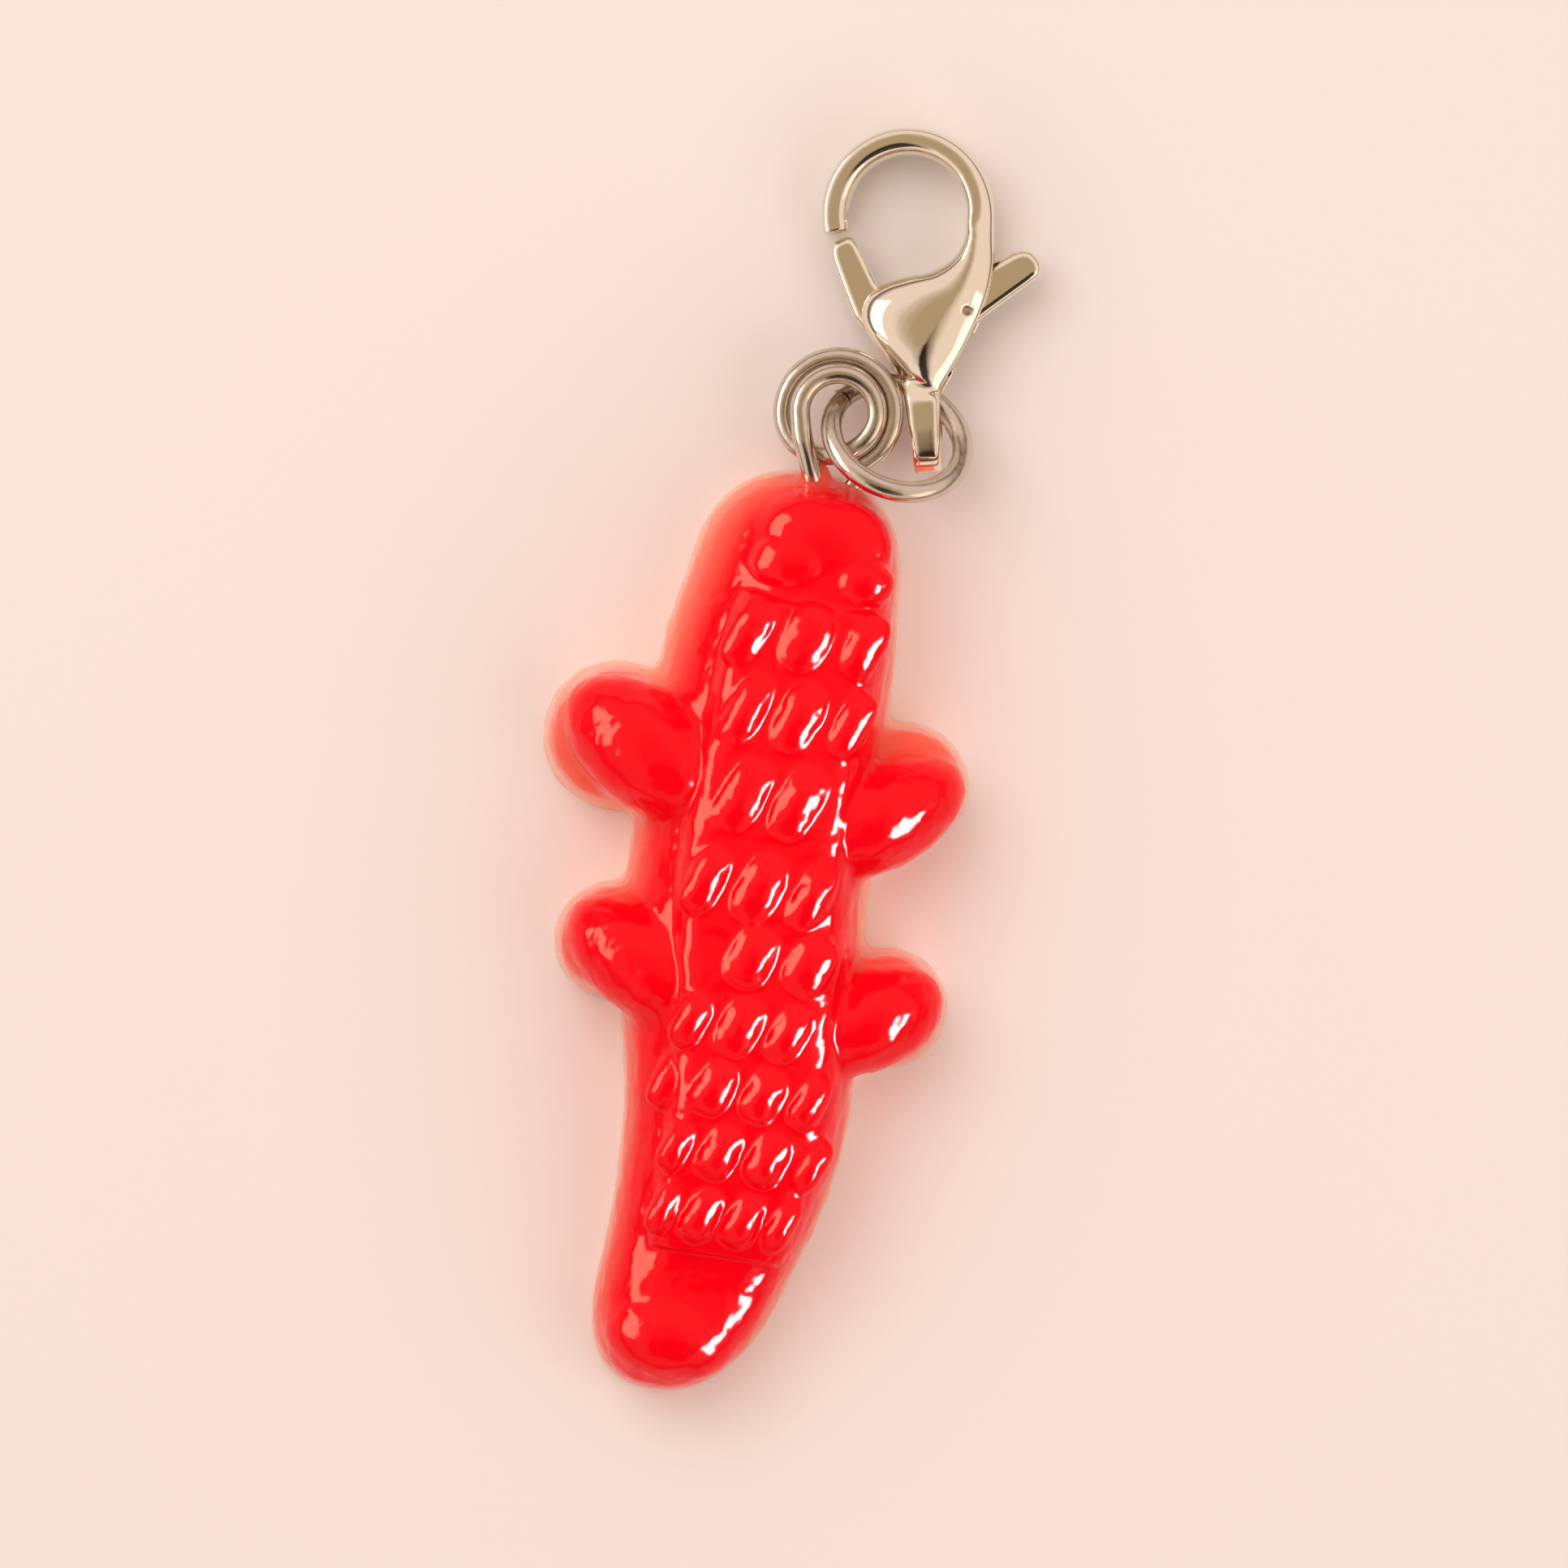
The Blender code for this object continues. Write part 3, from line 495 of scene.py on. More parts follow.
def trunk_section(y):
    """Left edge, right edge, ridge line, height and left power of the trunk at a place."""
    left, right, ridge, height, left_power = between(TRUNK, y)
    into_head = (y - TRUNK[0][0] + HEAD_ROUND) / HEAD_ROUND
    into_tail = (TRUNK[-1][0] + TAIL_ROUND - y) / TAIL_ROUND
    t = min(max(into_head, into_tail, 0.0), NEAR_END)
    top_power = HEAD_TOP_POWER if into_head > 0 else TAIL_TOP_POWER
    wide = (1 - t**END_POWER) ** (1 / END_POWER)
    tall = (1 - t**top_power) ** (1 / top_power)
    middle = (left + right) / 2
    half = (right - left) / 2 * wide
    ridge = middle + (ridge - middle) * wide
    return middle - half, middle + half, ridge, height * tall, left_power


def arch(around, left, right, ridge, height, left_power, right_power):
    """Point of a section: an arch above the table and a plain trough below it."""
    angle = 2 * pi * around
    on_right = cos(angle) > 0
    power = right_power if on_right else left_power
    reach = right - ridge if on_right else left - ridge
    if sin(angle) < 0:
        across, down = abs(cos(angle)) ** TROUGH_POWER, abs(sin(angle)) ** TROUGH_POWER
        return ridge + reach * across, -SINK * down
    across = abs(cos(angle)) ** (2 / power)
    return ridge + reach * across, height * max(1 - across**power, 0.0) ** (1 / CREST_POWER)


def trunk_point(around, along):
    """Rule that rolls a grid into the trunk, with its rings closest at both ends."""
    low, high = TRUNK[-1][0], TRUNK[0][0]
    turn = pi * (END_GAP + (1 - 2 * END_GAP) * along)
    y = (low + high) / 2 - (high - low) / 2 * cos(turn)
    x, z = arch(around, *trunk_section(y), RIGHT_POWER)
    return x, y, z


trunk = rolled("trunk", around=200, along=160, place=trunk_point)
print(f"trunk: {len(TRUNK)} stations, {TRUNK[0][0] - TRUNK[-1][0]:.1f} mm long")

# %% Feet
FEET = (                                 # place, radius
    ((-6.85, 7.60), 3.25),
    ((5.90, 7.50), 2.68),
    ((-5.65, -1.20), 2.55),
    ((6.60, -2.20), 2.62),
)
FOOT_HEIGHT = 3.1
FOOT_TAPER = 0.86                        # the foot's radius at its top over that below

feet = []
for (x, y), radius in FEET:
    bpy.ops.mesh.primitive_cone_add(
        vertices=72,
        radius1=mm(radius * (1 + (1 - FOOT_TAPER) * SINK / FOOT_HEIGHT)),
        radius2=mm(radius * FOOT_TAPER),
        depth=mm(FOOT_HEIGHT + SINK),
        location=mm((x, y, (FOOT_HEIGHT - SINK) / 2)),
    )
    feet.append(bpy.context.object)
print(len(feet), "feet")

# %% [markdown]
# ## Limbs, brow and tail bump
#
# The limbs are plump buds that lie on the round feet and run into the flanks.  A
# brow fills most of the head, and a low bump the end of the tail.  They could be
# grown out of the trunk by extruding, but cast gum has no sharp inner corners
# there, so they are eggs that are fused with the trunk and then smoothed for long.
# The brow and the bump are placed by the height of the surface that they stand on,
# and the raised panel on the back is part of it, so its outline comes first.

# %% Raised panel's outline
BACK_PANEL = (                           # place, left edge
    (14.1, -3.00),
    (12.5, -3.40),
    (5.0, -3.90),
    (0.0, -3.60),
    (-7.0, -2.75),
    (-13.9, -2.55),
)
PANEL_RISE = 0.20
PANEL_INSET = 0.15                       # its right edge runs along the trunk's
PANEL_POWERS = (8.0, 6.5)                # its left edge is squarer than its right one


def panel_section(y):
    """Left edge, right edge, ridge line, height and both powers of the panel at a place."""
    _, right, ridge, height, _ = trunk_section(y)
    left = between(BACK_PANEL, y)[0]
    return left, right - PANEL_INSET, ridge, height + PANEL_RISE, *PANEL_POWERS


# %% Height of the surface at a place
def arch_height(x, left, right, ridge, height, left_power, right_power):
    """Height of the arch over x."""
    reach, power = (right - ridge, right_power) if x > ridge else (ridge - left, left_power)
    share = min(abs(x - ridge) / reach, 1.0)
    return height * (1 - share**power) ** (1 / CREST_POWER)


def surface_height(x, y):
    """Height of the trunk, or of the panel on it, over the flat back."""
    surface = arch_height(x, *trunk_section(y), RIGHT_POWER)
    if BACK_PANEL[-1][0] < y < BACK_PANEL[0][0]:
        surface = max(surface, arch_height(x, *panel_section(y)))
    return surface


# %% Eggs and knobs
def squared(point, plan, profile):
    """Point of a ball of radius one, made squarer by powers over 2 and sharper below 2.

    One power shapes the ball as seen from above, and the other as seen from its side.
    """
    away = sqrt(point.x**2 + point.y**2)
    if away < 1e-6:                      # the poles stay where they are
        return point.copy()
    x, y = point.x / away, point.y / away
    reach = away ** (2 / profile) / (abs(x) ** plan + abs(y) ** plan) ** (1 / plan)
    z = abs(point.z) ** (2 / profile)
    return Vector((x * reach, y * reach, z if point.z > 0 else -z))


def egg(name, centre, half_sizes, heading=0.0, tip=0.0, plan=2.0, profile=2.0):
    """Egg whose length is turned by heading, seen from above, and tipped up by tip.

    Plan and profile are its powers, seen from above and from the side.
    """
    turn = Matrix.Rotation(radians(heading), 4, "Z") @ Matrix.Rotation(radians(-tip), 4, "Y")
    bpy.ops.mesh.primitive_uv_sphere_add(
        segments=64, ring_count=32, radius=1.0, location=mm(centre), rotation=turn.to_euler())
    piece = bpy.context.object
    piece.name = name
    for vertex in piece.data.vertices:
        vertex.co = squared(vertex.co, plan, profile)
    piece.scale = mm(half_sizes)
    return piece


def knob(name, place, half_sizes, rise, heading=0.0, **form):
    """Egg that stands out of the surface by rise."""
    x, y = place
    centre = (x, y, surface_height(x, y) + rise - half_sizes[2])
    return egg(name, centre, half_sizes, heading, **form)


# %% Limbs
LIMBS = (                                # name, centre, half sizes, heading, tip
    ("left_fore", (-5.45, 7.20, 3.75), (4.30, 2.60, 2.90), -29, 14),
    ("right_fore", (5.10, 5.95, 3.55), (4.05, 2.25, 2.90), 38, -14),
    ("left_hind", (-4.25, -1.90, 3.40), (3.90, 2.25, 2.75), -28, 14),
    ("right_hind", (6.10, -2.75, 3.35), (3.30, 2.20, 2.65), 35, -14),
)
limbs = [egg(*limb) for limb in LIMBS]
print("limbs:", ", ".join(limb.name for limb in limbs))

# %% Brow and tail bump
BROW, BROW_SIZE, BROW_RISE = (0.70, 17.15), (3.00, 2.25, 1.40), 0.36
TAIL_BUMP, TAIL_BUMP_SIZE, TAIL_BUMP_RISE = (-0.35, -17.65), (2.90, 2.05, 2.00), 0.60

brow = knob("brow", BROW, BROW_SIZE, BROW_RISE, plan=2.2)
tail_bump = knob("tail_bump", TAIL_BUMP, TAIL_BUMP_SIZE, TAIL_BUMP_RISE)
crocodile = join("crocodile_resin", [trunk, *feet, *limbs, brow, tail_bump])
fuse(crocodile, voxel=0.2, rounds=36)

# %% [markdown]
# ## The relief on its back
#
# On the real charm a raised panel carries rows of slanting scales, and two eyes
# lie on the rear corners of the brow.  These could be carved with a displacement
# picture, but separate bodies keep the grooves between the scales crisp.  Each
# scale has straight sides and a ridge, so that its two flanks mirror the two
# windows: a white streak on the right, and a wide warm patch on the left.  A
# second and finer fuse joins the relief to the body.  The skin then gets small
# lumps, which break the mirrored windows up as on the real one, and a cut along
# the table makes the back flat.


# %% Raised panel
FRONT_HOLLOW = 0.8                       # how far the front corners stand before the middle
HOLLOW_SHARE = 0.2                       # share of the panel's length that is hollowed


def panel_point(around, along):
    """Rule that rolls a grid into the panel.  Its front edge is hollow, as a collar is."""
    low, high = BACK_PANEL[-1][0], BACK_PANEL[0][0]
    y = low + (high - low) * along
    left, right, *rest = panel_section(y)
    x, z = arch(around, left, right, *rest)
    middle = (left + right) / 2
    hollow = FRONT_HOLLOW * ((x - middle) / (right - middle)) ** 2
    hollow = hollow * max(along - (1 - HOLLOW_SHARE), 0.0) / HOLLOW_SHARE
    return x, y + hollow, z


relief = [crocodile, rolled("back_panel", around=120, along=120, place=panel_point)]
print(f"panel: {BACK_PANEL[0][0] - BACK_PANEL[-1][0]:.1f} mm long, raised by {PANEL_RISE} mm")

# %% Scales
SCALE_ROWS = (                           # place along the spine, middle, how many, pitch
    (12.9, 0.55, 3, 2.60),
    (9.5, 0.75, 3, 2.40),
    (5.9, 0.15, 2, 2.35),
    (2.1, 0.30, 3, 2.45),
    (-0.9, 1.70, 2, 2.50),
    (-3.9, 0.45, 3, 2.25),
    (-6.7, 0.85, 4, 2.15),
    (-9.4, 1.50, 4, 2.05),
    (-12.1, 1.05, 4, 1.80),
)
SCALE_LENGTH = 0.50                      # half length over the distance between rows
SCALE_WIDTH = 0.43                       # half width over the pitch in a row
SCALE_RISE, SCALE_DEPTH = 0.55, 0.70     # how far it stands out, and its half height
SCALE_LEAN = 20                          # degrees from the spine
SCALE_PLAN, SCALE_PROFILE = 2.9, 1.60    # powers: straight sides, and a ridge
END_WIDTH, END_SHIFT = 0.82, 0.15        # the scales at a row's ends are narrower

places = [row[0] for row in SCALE_ROWS]
scales = []
for row, (y, middle, count, pitch) in enumerate(SCALE_ROWS):
    gap = places[max(row - 1, 0)] - places[min(row + 1, len(places) - 1)]
    gap /= 2 if 0 < row < len(places) - 1 else 1
    for i in range(count):
        aside, half = (i - (count - 1) / 2) * pitch, pitch * SCALE_WIDTH
        if count > 2 and i in (0, count - 1):
            aside -= END_SHIFT if aside > 0 else -END_SHIFT
            half *= END_WIDTH
        spot = (middle + aside, y)
        size = (gap * SCALE_LENGTH, half, SCALE_DEPTH)
        scales.append(knob("scale", spot, size, SCALE_RISE, heading=90 - SCALE_LEAN,
                           plan=SCALE_PLAN, profile=SCALE_PROFILE))
relief += scales
print(len(scales), "scales")

# %% Eyes
EYES = (                                 # place, half sizes, rise
    ((-0.45, 16.20), (1.95, 1.45, 1.15), 0.50),
    ((2.60, 15.75), (1.35, 1.10, 1.00), 0.52),
)

for spot, size, rise in EYES:
    relief.append(knob("eye", spot, size, rise, heading=10))

# %% Collar of resin round the wire
COLLAR, COLLAR_SIZE = (-0.16, 19.75, 3.35), (0.95, 0.75, 0.80)
relief.append(egg("collar", COLLAR, COLLAR_SIZE, heading=100))
print(f"{len(EYES)} eyes and a collar, {len(relief)} bodies in all")

# %% Fuse the relief, make it a little lumpy and cut the back flat
LUMP_SIZE, LUMP_DEPTH = 1.1, 0.15        # poured resin is never quite even

crocodile = join("crocodile_resin", relief)
fuse(crocodile, voxel=0.125, rounds=2)
lumps = bpy.data.textures.new("lumps", "CLOUDS")
lumps.noise_scale = mm(LUMP_SIZE)
lumps.noise_depth = 2
finish_modifier(crocodile, "DISPLACE", texture=lumps, texture_coords="LOCAL",
                strength=mm(LUMP_DEPTH), mid_level=0.5)
# The cut's own threshold, a tenth of a millimetre, is too coarse for so small a piece.
bpy.ops.object.mode_set(mode="EDIT")
bpy.ops.mesh.select_all(action="SELECT")
bpy.ops.mesh.bisect(plane_co=(0, 0, 0), plane_no=(0, 0, 1), use_fill=True, clear_inner=True,
                    threshold=1e-7)
bpy.ops.object.mode_set(mode="OBJECT")
dress(crocodile, resin, soft_edge=50)
print(f"crocodile: {len(crocodile.data.polygons)} faces")

# %% [markdown]
# ## The wire eye
#
# One piece of steel wire is cast into the head.  It comes up, makes a small turn
# in front, widens behind its own leg, makes a larger turn and goes back into the
# head.  Rings could be extruded one after the other, but a curve with a round
# bevel is the natural tool for wire, since the route and the thickness stay apart.


# %% Round wire along a route
def rounded(points, rounds):
    """Route with its corners cut at the quarters of each stretch, round after round."""
    for _ in range(rounds):
        eased = [points[0]]
        for near, far in zip(points, points[1:]):
            near, far = Vector(near), Vector(far)
            eased += [near.lerp(far, 0.25), near.lerp(far, 0.75)]
        points = eased + [points[-1]]
    return points


def wire(name, points, diameter, sides=12):
    """Round wire of a diameter along a row of points, with its ends closed."""
    route = bpy.data.curves.new(name, "CURVE")
    route.dimensions = "3D"
    route.bevel_depth = mm(diameter / 2)
    route.bevel_resolution = sides
    route.use_fill_caps = True
    line = route.splines.new("POLY")
    line.points.add(len(points) - 1)
    for spot, point in zip(line.points, points):
        spot.co = (*mm(point), 1.0)
    piece = bpy.data.objects.new(name, route)
    bpy.context.scene.collection.objects.link(piece)
    select(piece)
    bpy.ops.object.convert(target="MESH")
    piece = bpy.context.object
    bpy.ops.object.mode_set(mode="EDIT")
    bpy.ops.mesh.select_all(action="SELECT")
    bpy.ops.mesh.remove_doubles(threshold=1e-7)
    bpy.ops.mesh.normals_make_consistent(inside=False)
    bpy.ops.object.mode_set(mode="OBJECT")
    return piece


# %% Bend the eye
EYE_CENTRE = (0.34, 22.92)
EYE_WIRE = 0.88
EYE_TURNS = (                            # (angle, radius, height) along the wire
    (189, 1.66, 4.12),
    (99, 1.66, 3.92),
    (9, 1.66, 3.75),
    (-71, 1.74, 3.56),
    (-141, 2.32, 2.92),
    (-191, 2.38, 2.95),
    (-351, 2.40, 3.10),
    (-416, 2.48, 3.05),
)
FRONT_LEG = (
    (0.20, 18.60, 3.30), (-0.06, 19.30, 3.55), (-0.33, 20.00, 3.82), (-0.66, 20.80, 4.06),
    (-1.05, 21.65, 4.16),
)
BACK_LEG = ((1.62, 20.25, 3.02), (1.25, 19.45, 3.00), (1.00, 18.70, 3.00))
EYE_STEP = 4                             # degrees from point to point

points = list(FRONT_LEG)
first, last = EYE_TURNS[0][0], EYE_TURNS[-1][0]
steps = (first - last) // EYE_STEP
for step in range(steps + 1):
    angle = first + (last - first) * step / steps
    radius, height = between(EYE_TURNS, angle)
    points.append((
        EYE_CENTRE[0] + radius * cos(radians(angle)),
        EYE_CENTRE[1] + radius * sin(radians(angle)),
        height,
    ))
points += BACK_LEG
eye = wire("wire_eye", rounded(points, rounds=1), EYE_WIRE)
dress(eye, wire_steel, soft_edge=60)
print(f"eye: {len(points)} points, wire {EYE_WIRE} mm")

# %% [markdown]
# ## The jump ring
#
# A jump ring is one turn of wire, cut through, so that it can be twisted open and
# closed again.  It leans: it passes over the crocodile's head, through the eye and
# through the slot in the clasp's tail.  A torus would have no cut, so it is wire too.

# %% Bend the ring
RING_CENTRE = (3.02, 22.23, 3.68)
RING_MEAN_RADIUS = 2.96
RING_WIRE = 0.93
RING_HEADING = 165.3                     # direction of the ring's level diameter
RING_TILT = 41                           # the side over the head is raised
RING_CUT = 2.2                           # degrees of the cut
RING_CUT_AT = 14                         # degrees from the level diameter to the cut
RING_POINTS = 120

heading, tilt = radians(RING_HEADING), radians(RING_TILT)
level = Vector((cos(heading), sin(heading), 0))
raised = Vector((-sin(heading), cos(heading), 0)) * cos(tilt) + Vector((0, 0, sin(tilt)))
points = []
for step in range(RING_POINTS + 1):
    angle = radians(RING_CUT_AT + RING_CUT / 2 + (360 - RING_CUT) * step / RING_POINTS)
    way = level * cos(angle) - raised * sin(angle)
    points.append(Vector(RING_CENTRE) + RING_MEAN_RADIUS * way)
ring = wire("ring", points, RING_WIRE)
dress(ring, wire_steel, soft_edge=60)
print(f"ring: {2 * RING_MEAN_RADIUS + RING_WIRE:.1f} mm across")

# %% [markdown]
# ## The lobster clasp
#
# The clasp is cast and polished: a hook that runs into a plump body, and a tail
# with a slot for the ring.  A lever turns in a slot through the body.  The body
# could be a Boolean of simple shapes, but its flowing form is a row of sections,
# so the grid is rolled up once more, from the hook's tip to the tail's end.  The
# slots are then cut, and a fine fuse rounds every cut edge, as polishing does.
#
# Clasp, lever and pin are shaped in a frame of their own, with the tail along -Y and
# the clasp's middle plane at height 0, and are then moved to where the clasp lies.

# %% Where the clasp lies
CLASP_PLACE = (4.00, 23.66, 1.88)
CLASP_TURN, CLASP_DIP, CLASP_ROLL = 13.96, 2.0, 5.0      # degrees about its own Z, X and Y

attitude = (
    Matrix.Rotation(radians(CLASP_TURN), 4, "Z")
    @ Matrix.Rotation(radians(-CLASP_DIP), 4, "X")
    @ Matrix.Rotation(radians(-CLASP_ROLL), 4, "Y")
)
clasp_frame = Matrix.Translation(mm(CLASP_PLACE)) @ attitude
print(f"clasp: turned by {CLASP_TURN} degrees")

# %% Sizes of the hook and the body
HOOK_CENTRE = Vector((0.03, 8.49))
HOOK_OUTER, HOOK_INNER = 3.77, 2.55      # radii
HOOK_TIP_ANGLE, HOOK_ROOT_ANGLE = 189, -12
HOOK_STEPS = 22
HOOK_SHAPE = (                           # half thickness, crest, inner and outer power, edge
    (0.95, 0.0, 2.4, 4.5, 0.0),          # at the tip
    (1.00, 0.0, 2.4, 4.5, 0.0),          # at the top
    (1.20, -0.45, 3.0, 1.5, 0.56),       # at the root
)
BODY_RUNGS = (                   # inner edge, outer edge, half thickness, crest, outer power
    ((2.36, 7.20), (3.68, 7.15), 1.29, -0.30, 1.45),
    ((1.75, 6.42), (3.58, 6.00), 1.42, -0.05, 1.35),
    ((0.80, 6.00), (3.25, 4.80), 1.55, 0.15, 1.3),
    ((-0.40, 5.86), (2.78, 3.80), 1.66, 0.28, 1.25),
    ((-1.45, 5.62), (2.25, 2.90), 1.70, 0.35, 1.25),
    ((-2.22, 5.10), (1.78, 2.15), 1.70, 0.38, 1.25),
    ((-2.50, 4.30), (1.40, 1.60), 1.64, 0.40, 1.25),
    ((-2.25, 3.40), (1.12, 1.18), 1.52, 0.40, 1.3),
    ((-1.65, 2.40), (0.93, 0.85), 1.34, 0.38, 1.4),
    ((-1.12, 1.45), (0.84, 0.62), 1.14, 0.28, 2.0),
)
BODY_POWER, BODY_EDGE = 2.5, 0.56        # inner power, and the outer edge's thickness share

# %% Sizes of the tail
TAIL_POWER = 5.5
TAIL_HALF_WIDTH = (0.80, 0.61)           # at the neck and at the end
TAIL_NECK, TAIL_END = 0.30, -2.76
TAIL_SHARES = (0.0, 0.3, 0.6, 0.8, 0.9, 0.96, 1.0)       # its sections, from neck to end
TAIL_HALF_THICK = 1.40
TAIL_LEAST_THICK = 0.66                  # half of what is left at its end
TAIL_EDGE = 0.75                         # radius of the tail's end, seen from the side
TAIL_FALL, TAIL_FALL_START = 0.45, 0.4   # it gets thinner from this share on

# %% Row of sections from the hook's tip to the tail's end
stations = []       # place, inner x, y, outer x, y, half thickness, crest, powers, edge
for step in range(HOOK_STEPS + 1):
    share = step / HOOK_STEPS
    angle = radians(HOOK_TIP_ANGLE + (HOOK_ROOT_ANGLE - HOOK_TIP_ANGLE) * share)
    way = Vector((cos(angle), sin(angle)))
    half, near, far = (0, *HOOK_SHAPE[0:2]) if share < 0.5 else (1, *HOOK_SHAPE[1:3])
    shape = [a + (b - a) * (2 * share - half) for a, b in zip(near, far)]
    inner, outer = HOOK_CENTRE + HOOK_INNER * way, HOOK_CENTRE + HOOK_OUTER * way
    stations.append((len(stations), *inner, *outer, *shape))
for inner, outer, thick, crest, power in BODY_RUNGS:
    stations.append((len(stations), *inner, *outer, thick, crest, BODY_POWER, power, BODY_EDGE))
for share in TAIL_SHARES:
    y = TAIL_NECK + (TAIL_END - TAIL_NECK) * share
    half = TAIL_HALF_WIDTH[0] + (TAIL_HALF_WIDTH[1] - TAIL_HALF_WIDTH[0]) * share
    into_end = max(TAIL_END + TAIL_EDGE - y, 0.0)
    thick = TAIL_HALF_THICK - TAIL_EDGE + sqrt(TAIL_EDGE**2 - into_end**2)
    thick = max(thick - TAIL_FALL * max(share - TAIL_FALL_START, 0.0), TAIL_LEAST_THICK)
    stations.append((len(stations), -half, y, half, y, thick, 0.0, TAIL_POWER, TAIL_POWER, 0.0))
print(f"clasp: {len(stations)} sections")


# %% Roll the clasp
def clasp_point(around, along):
    """Rule that rolls a grid into the clasp.  The crest is the line where it is thickest."""
    values = between(stations, along * (len(stations) - 1))
    inner, outer = Vector(values[0:2]), Vector(values[2:4])
    thick, crest, power_in, power_out, edge = values[4:]
    angle = pi + 2 * pi * around
    outwards = cos(angle) > 0
    power = power_out if outwards else power_in
    reach = 1 - crest if outwards else -1 - crest
    across = crest + reach * abs(cos(angle)) ** (2 / power)
    up = abs(sin(angle)) ** (2 / power)
    if outwards:
        up = edge + (1 - edge) * up
    if sin(angle) < 0:
        up = -up
    spot = (inner + outer) / 2 + (outer - inner) / 2 * across
    return spot.x, spot.y, thick * up


clasp = rolled("clasp_case", around=72, along=240, place=clasp_point)
print(f"clasp: {len(clasp.data.polygons)} faces")


# %% Plates, arcs and cuts
def flat_plate(name, outline, thickness):
    """Plate with a flat outline in the clasp's frame, centred on its plane."""
    bpy.ops.mesh.primitive_circle_add(vertices=len(outline), radius=1, fill_type="NGON")
    piece = bpy.context.object
    piece.name = name
    for vertex, (x, y) in zip(piece.data.vertices, outline):
        vertex.co = mm((x, y, -thickness / 2))
    bpy.ops.object.mode_set(mode="EDIT")
    bpy.ops.mesh.select_all(action="SELECT")
    bpy.ops.mesh.extrude_region_move(TRANSFORM_OT_translate={"value": (0, 0, mm(thickness))})
    bpy.ops.mesh.select_all(action="SELECT")
    bpy.ops.mesh.normals_make_consistent(inside=False)
    bpy.ops.object.mode_set(mode="OBJECT")
    return piece


def cut(piece, tool):
    """Takes the tool's shape out of the piece."""
    finish_modifier(piece, "BOOLEAN", operation="DIFFERENCE", solver="EXACT", object=tool)
    bpy.data.objects.remove(tool)


def arc(centre, radius, start, stop, steps):
    """Points along an arc, with its angles in degrees."""
    return [
        (centre[0] + radius * cos(radians(start + (stop - start) * step / steps)),
         centre[1] + radius * sin(radians(start + (stop - start) * step / steps)))
        for step in range(steps + 1)
    ]


PIVOT = (2.30, 4.05)                     # where the lever's pin goes through the clasp


def pivot_rod(name, radius, length, sides):
    """Upright rod on the lever's pivot."""
    bpy.ops.mesh.primitive_cylinder_add(
        vertices=sides, radius=mm(radius), depth=mm(length), location=mm((*PIVOT, 0)))
    return join(name, [bpy.context.object])


# %% Cut the room for the lever
LEVER_ROOM = 1.40                        # thickness of the slot that the lever turns in
LEVER_ROOM_OUTLINE = (
    (-5.0, 3.10), (4.8, 3.10), (4.8, 6.92), (2.6, 6.32), (1.9, 7.4), (-5.0, 6.9),
)
GROOVE_INNER, GROOVE_OUTER = 5.6, 6.86   # radii of the gate's path at the hook's tip
GROOVE_START, GROOVE_STOP = 120, 165
GROOVE_STEPS = 12

cut(clasp, flat_plate("lever_room", LEVER_ROOM_OUTLINE, LEVER_ROOM))
groove = arc(PIVOT, GROOVE_INNER, GROOVE_START, GROOVE_STOP, GROOVE_STEPS)
groove += arc(PIVOT, GROOVE_OUTER, GROOVE_STOP, GROOVE_START, GROOVE_STEPS)
cut(clasp, flat_plate("tip_groove", groove, LEVER_ROOM))
print(f"room for the lever: {LEVER_ROOM} mm")

# %% Cut the pin's hole and the ring's slot
THROUGH = 6.0                            # longer than the clasp is thick
PIN_HOLE_RADIUS = 0.19
TAIL_SLOT = (-1.35, 1.85)
TAIL_SLOT_HEIGHT, TAIL_SLOT_CORNER = 1.56, 0.45

half = TAIL_SLOT_HEIGHT / 2 - TAIL_SLOT_CORNER
low, high = TAIL_SLOT[0] + TAIL_SLOT_CORNER, TAIL_SLOT[1] - TAIL_SLOT_CORNER
outline = []
for i, corner in enumerate(((half, high), (-half, high), (-half, low), (half, low))):
    outline += arc(corner, TAIL_SLOT_CORNER, start=90 * i, stop=90 * i + 90, steps=8)
slot = flat_plate("ring_slot", outline, THROUGH)
cut(clasp, pivot_rod("pin_hole", PIN_HOLE_RADIUS, THROUGH, sides=48))
# The slot runs through the tail's sides, so its plate is turned on edge.
select(slot)
bpy.ops.transform.rotate(value=-pi / 2, orient_axis="Y", center_override=(0, 0, 0))
bpy.ops.object.transform_apply(location=True, rotation=True, scale=True)
cut(clasp, slot)
fuse(clasp, voxel=0.062, rounds=8)
clasp.data.transform(clasp_frame)
dress(clasp, steel)

# %% [markdown]
# ## The lever and its pin
#
# The lever is a flat stamping: a gate that closes the hook, an arm that turns on
# the pin inside the body, and a tab for the finger.  It could be rolled as the
# clasp is, but it is flat, so its outline is drawn point by point and extruded.  A
# bevel rounds its edges over, and a fine fuse then gives it the soft look of
# tumbled steel.  The pin is a thin rod whose ends lie in two small dimples.

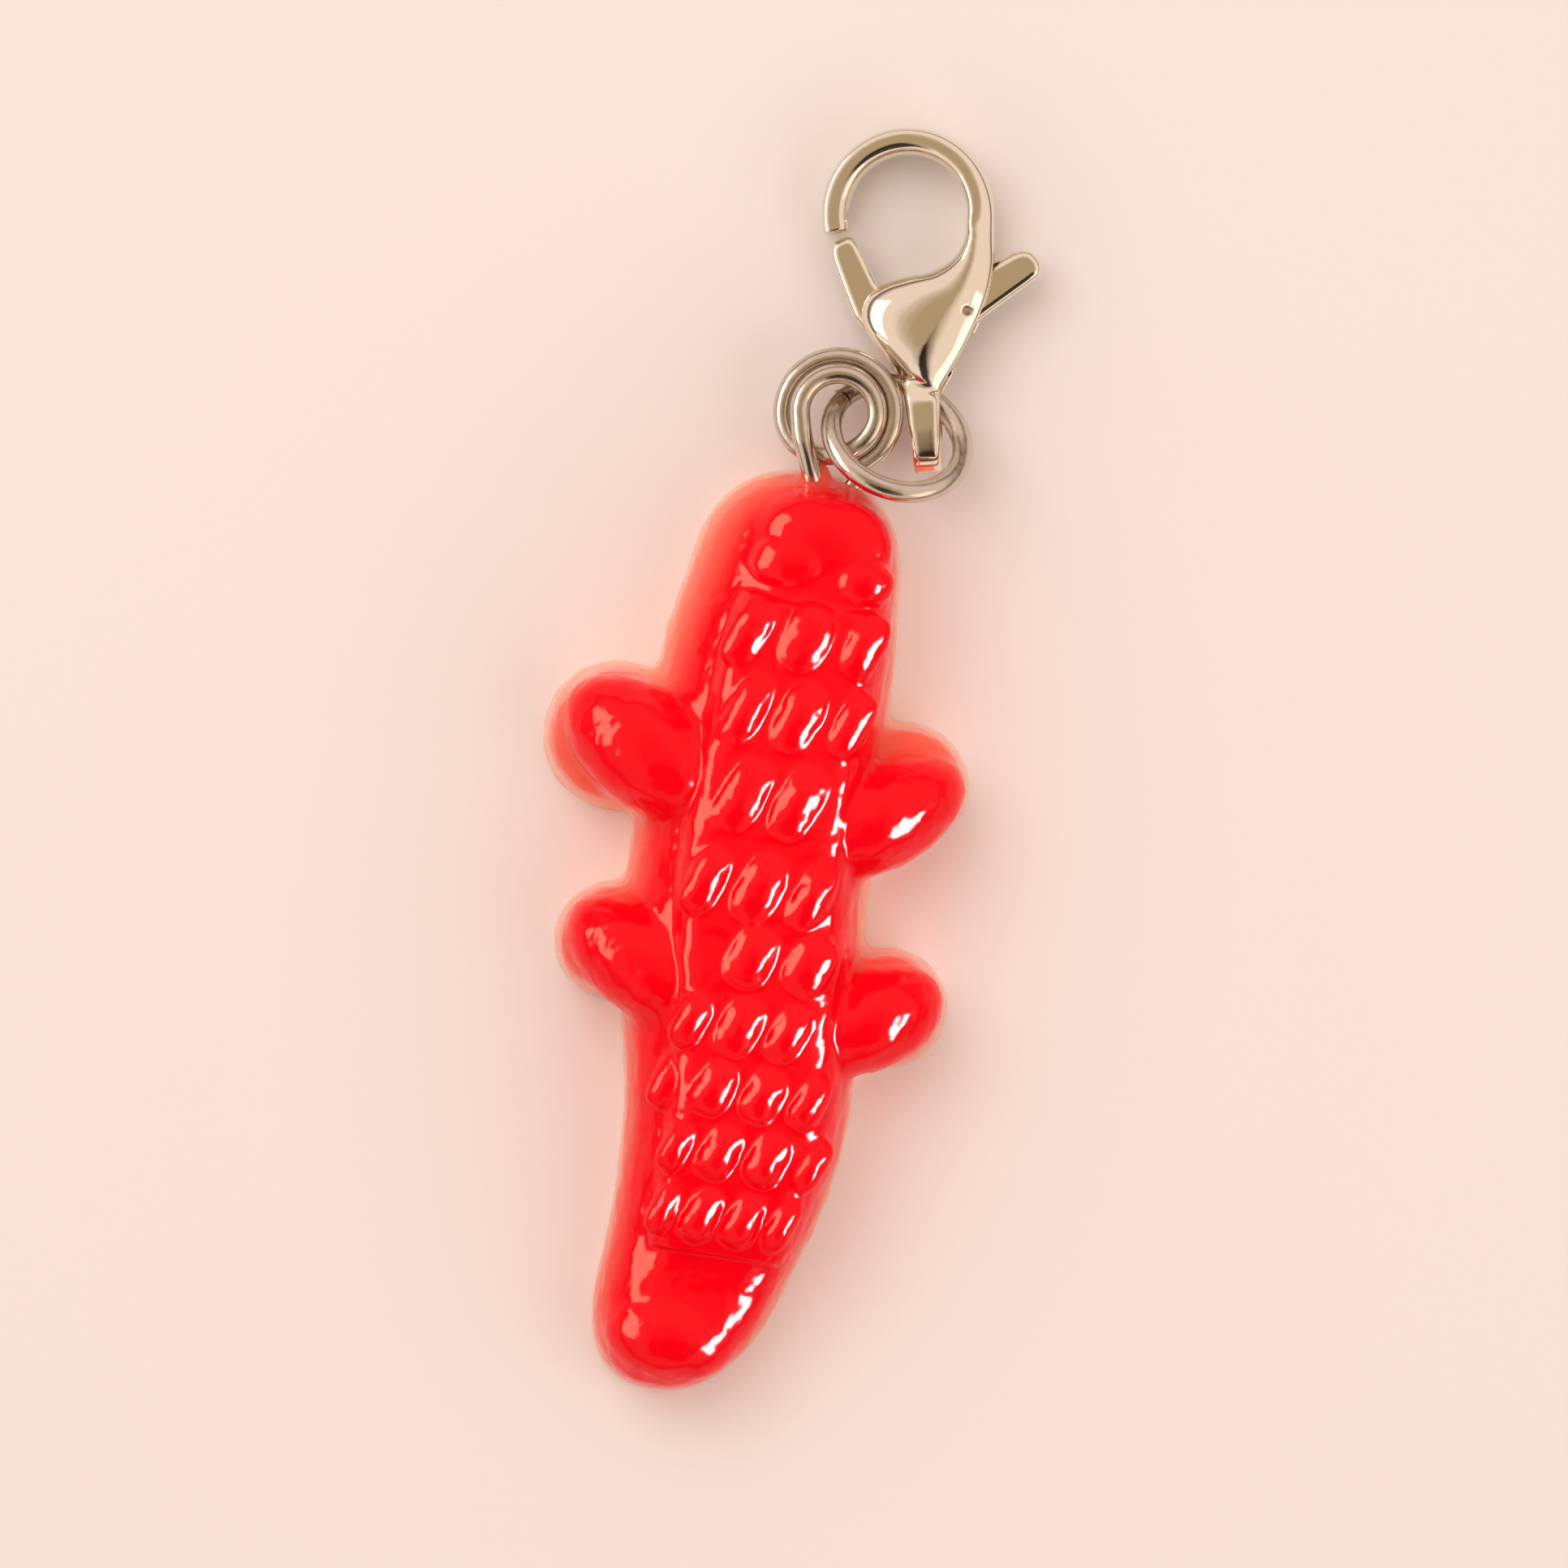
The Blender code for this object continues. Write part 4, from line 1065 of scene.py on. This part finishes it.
# %% Lever
LEVER_THICK = 1.10
LEVER_EDGE = 0.34                        # width of its rounded edges
LEVER_OUTLINE = (
    (2.62, 3.55), (3.30, 3.98), (5.16, 5.10), (5.50, 5.34), (5.62, 5.68), (5.52, 6.06),
    (5.24, 6.42), (4.86, 6.54), (4.48, 6.46), (3.28, 5.93), (2.20, 5.36), (1.20, 5.04),
    (0.10, 4.92), (-0.72, 4.98), (-1.28, 5.22), (-1.62, 5.72), (-1.88, 6.40), (-2.26, 7.38),
    (-2.44, 7.68), (-2.80, 7.78), (-3.30, 7.58), (-3.50, 7.28), (-3.46, 6.80), (-3.05, 5.30),
    (-2.72, 4.20), (-2.36, 3.70), (-1.60, 3.45), (-0.40, 3.36), (1.20, 3.38), (2.05, 3.42),
)
lever = flat_plate("lever", LEVER_OUTLINE, LEVER_THICK)
finish_modifier(lever, "BEVEL", width=mm(LEVER_EDGE), segments=5, limit_method="ANGLE",
                angle_limit=radians(50))
fuse(lever, voxel=0.05, rounds=6)
lever.data.transform(clasp_frame)
dress(lever, steel)

# %% Pin
PIN_RADIUS, PIN_LENGTH = 0.18, 2.40
PIN_EDGE = 0.04

pin = pivot_rod("lever_pin", PIN_RADIUS, PIN_LENGTH, sides=40)
finish_modifier(pin, "BEVEL", width=mm(PIN_EDGE), segments=3)
pin.data.transform(clasp_frame)
dress(pin, wire_steel, soft_edge=40)
print(f"pin: {2 * PIN_RADIUS} mm thick")

# %% [markdown]
# ## Put the pieces on their bodies
#
# The ring turns round the eye, the clasp slides round the ring, and the lever
# turns on its pin, so each piece rides on the body of the solid that it stands
# for.  The windows are then given to the resin or to the steel by light linking.

# %% Ride and replace
for piece, node, body, slot_name in (
    (crocodile, "crocodile", "charm", "resin"),
    (eye, "eye_loop", "charm", "steel"),
    (ring, "jump_ring", "ring", "steel"),
    (clasp, "clasp_body", "clasp", "steel"),
    (lever, "clasp_lever", "lever", "steel"),
    (pin, "pivot_pin", "clasp", "steel"),
):
    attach(piece, body)
    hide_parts(node)
    print(f"{piece.name} stands for {node}: {len(piece.data.polygons)} faces")

# %% Give the windows to their pieces
for windows, pieces in ((resin_windows, [crocodile]),
                        (steel_windows, [eye, ring, clasp, lever, pin])):
    lit = bpy.data.collections.new("lit by " + windows[0].name)
    for piece in pieces:
        lit.objects.link(piece)
    for window in windows:
        window.light_linking.receiver_collection = lit
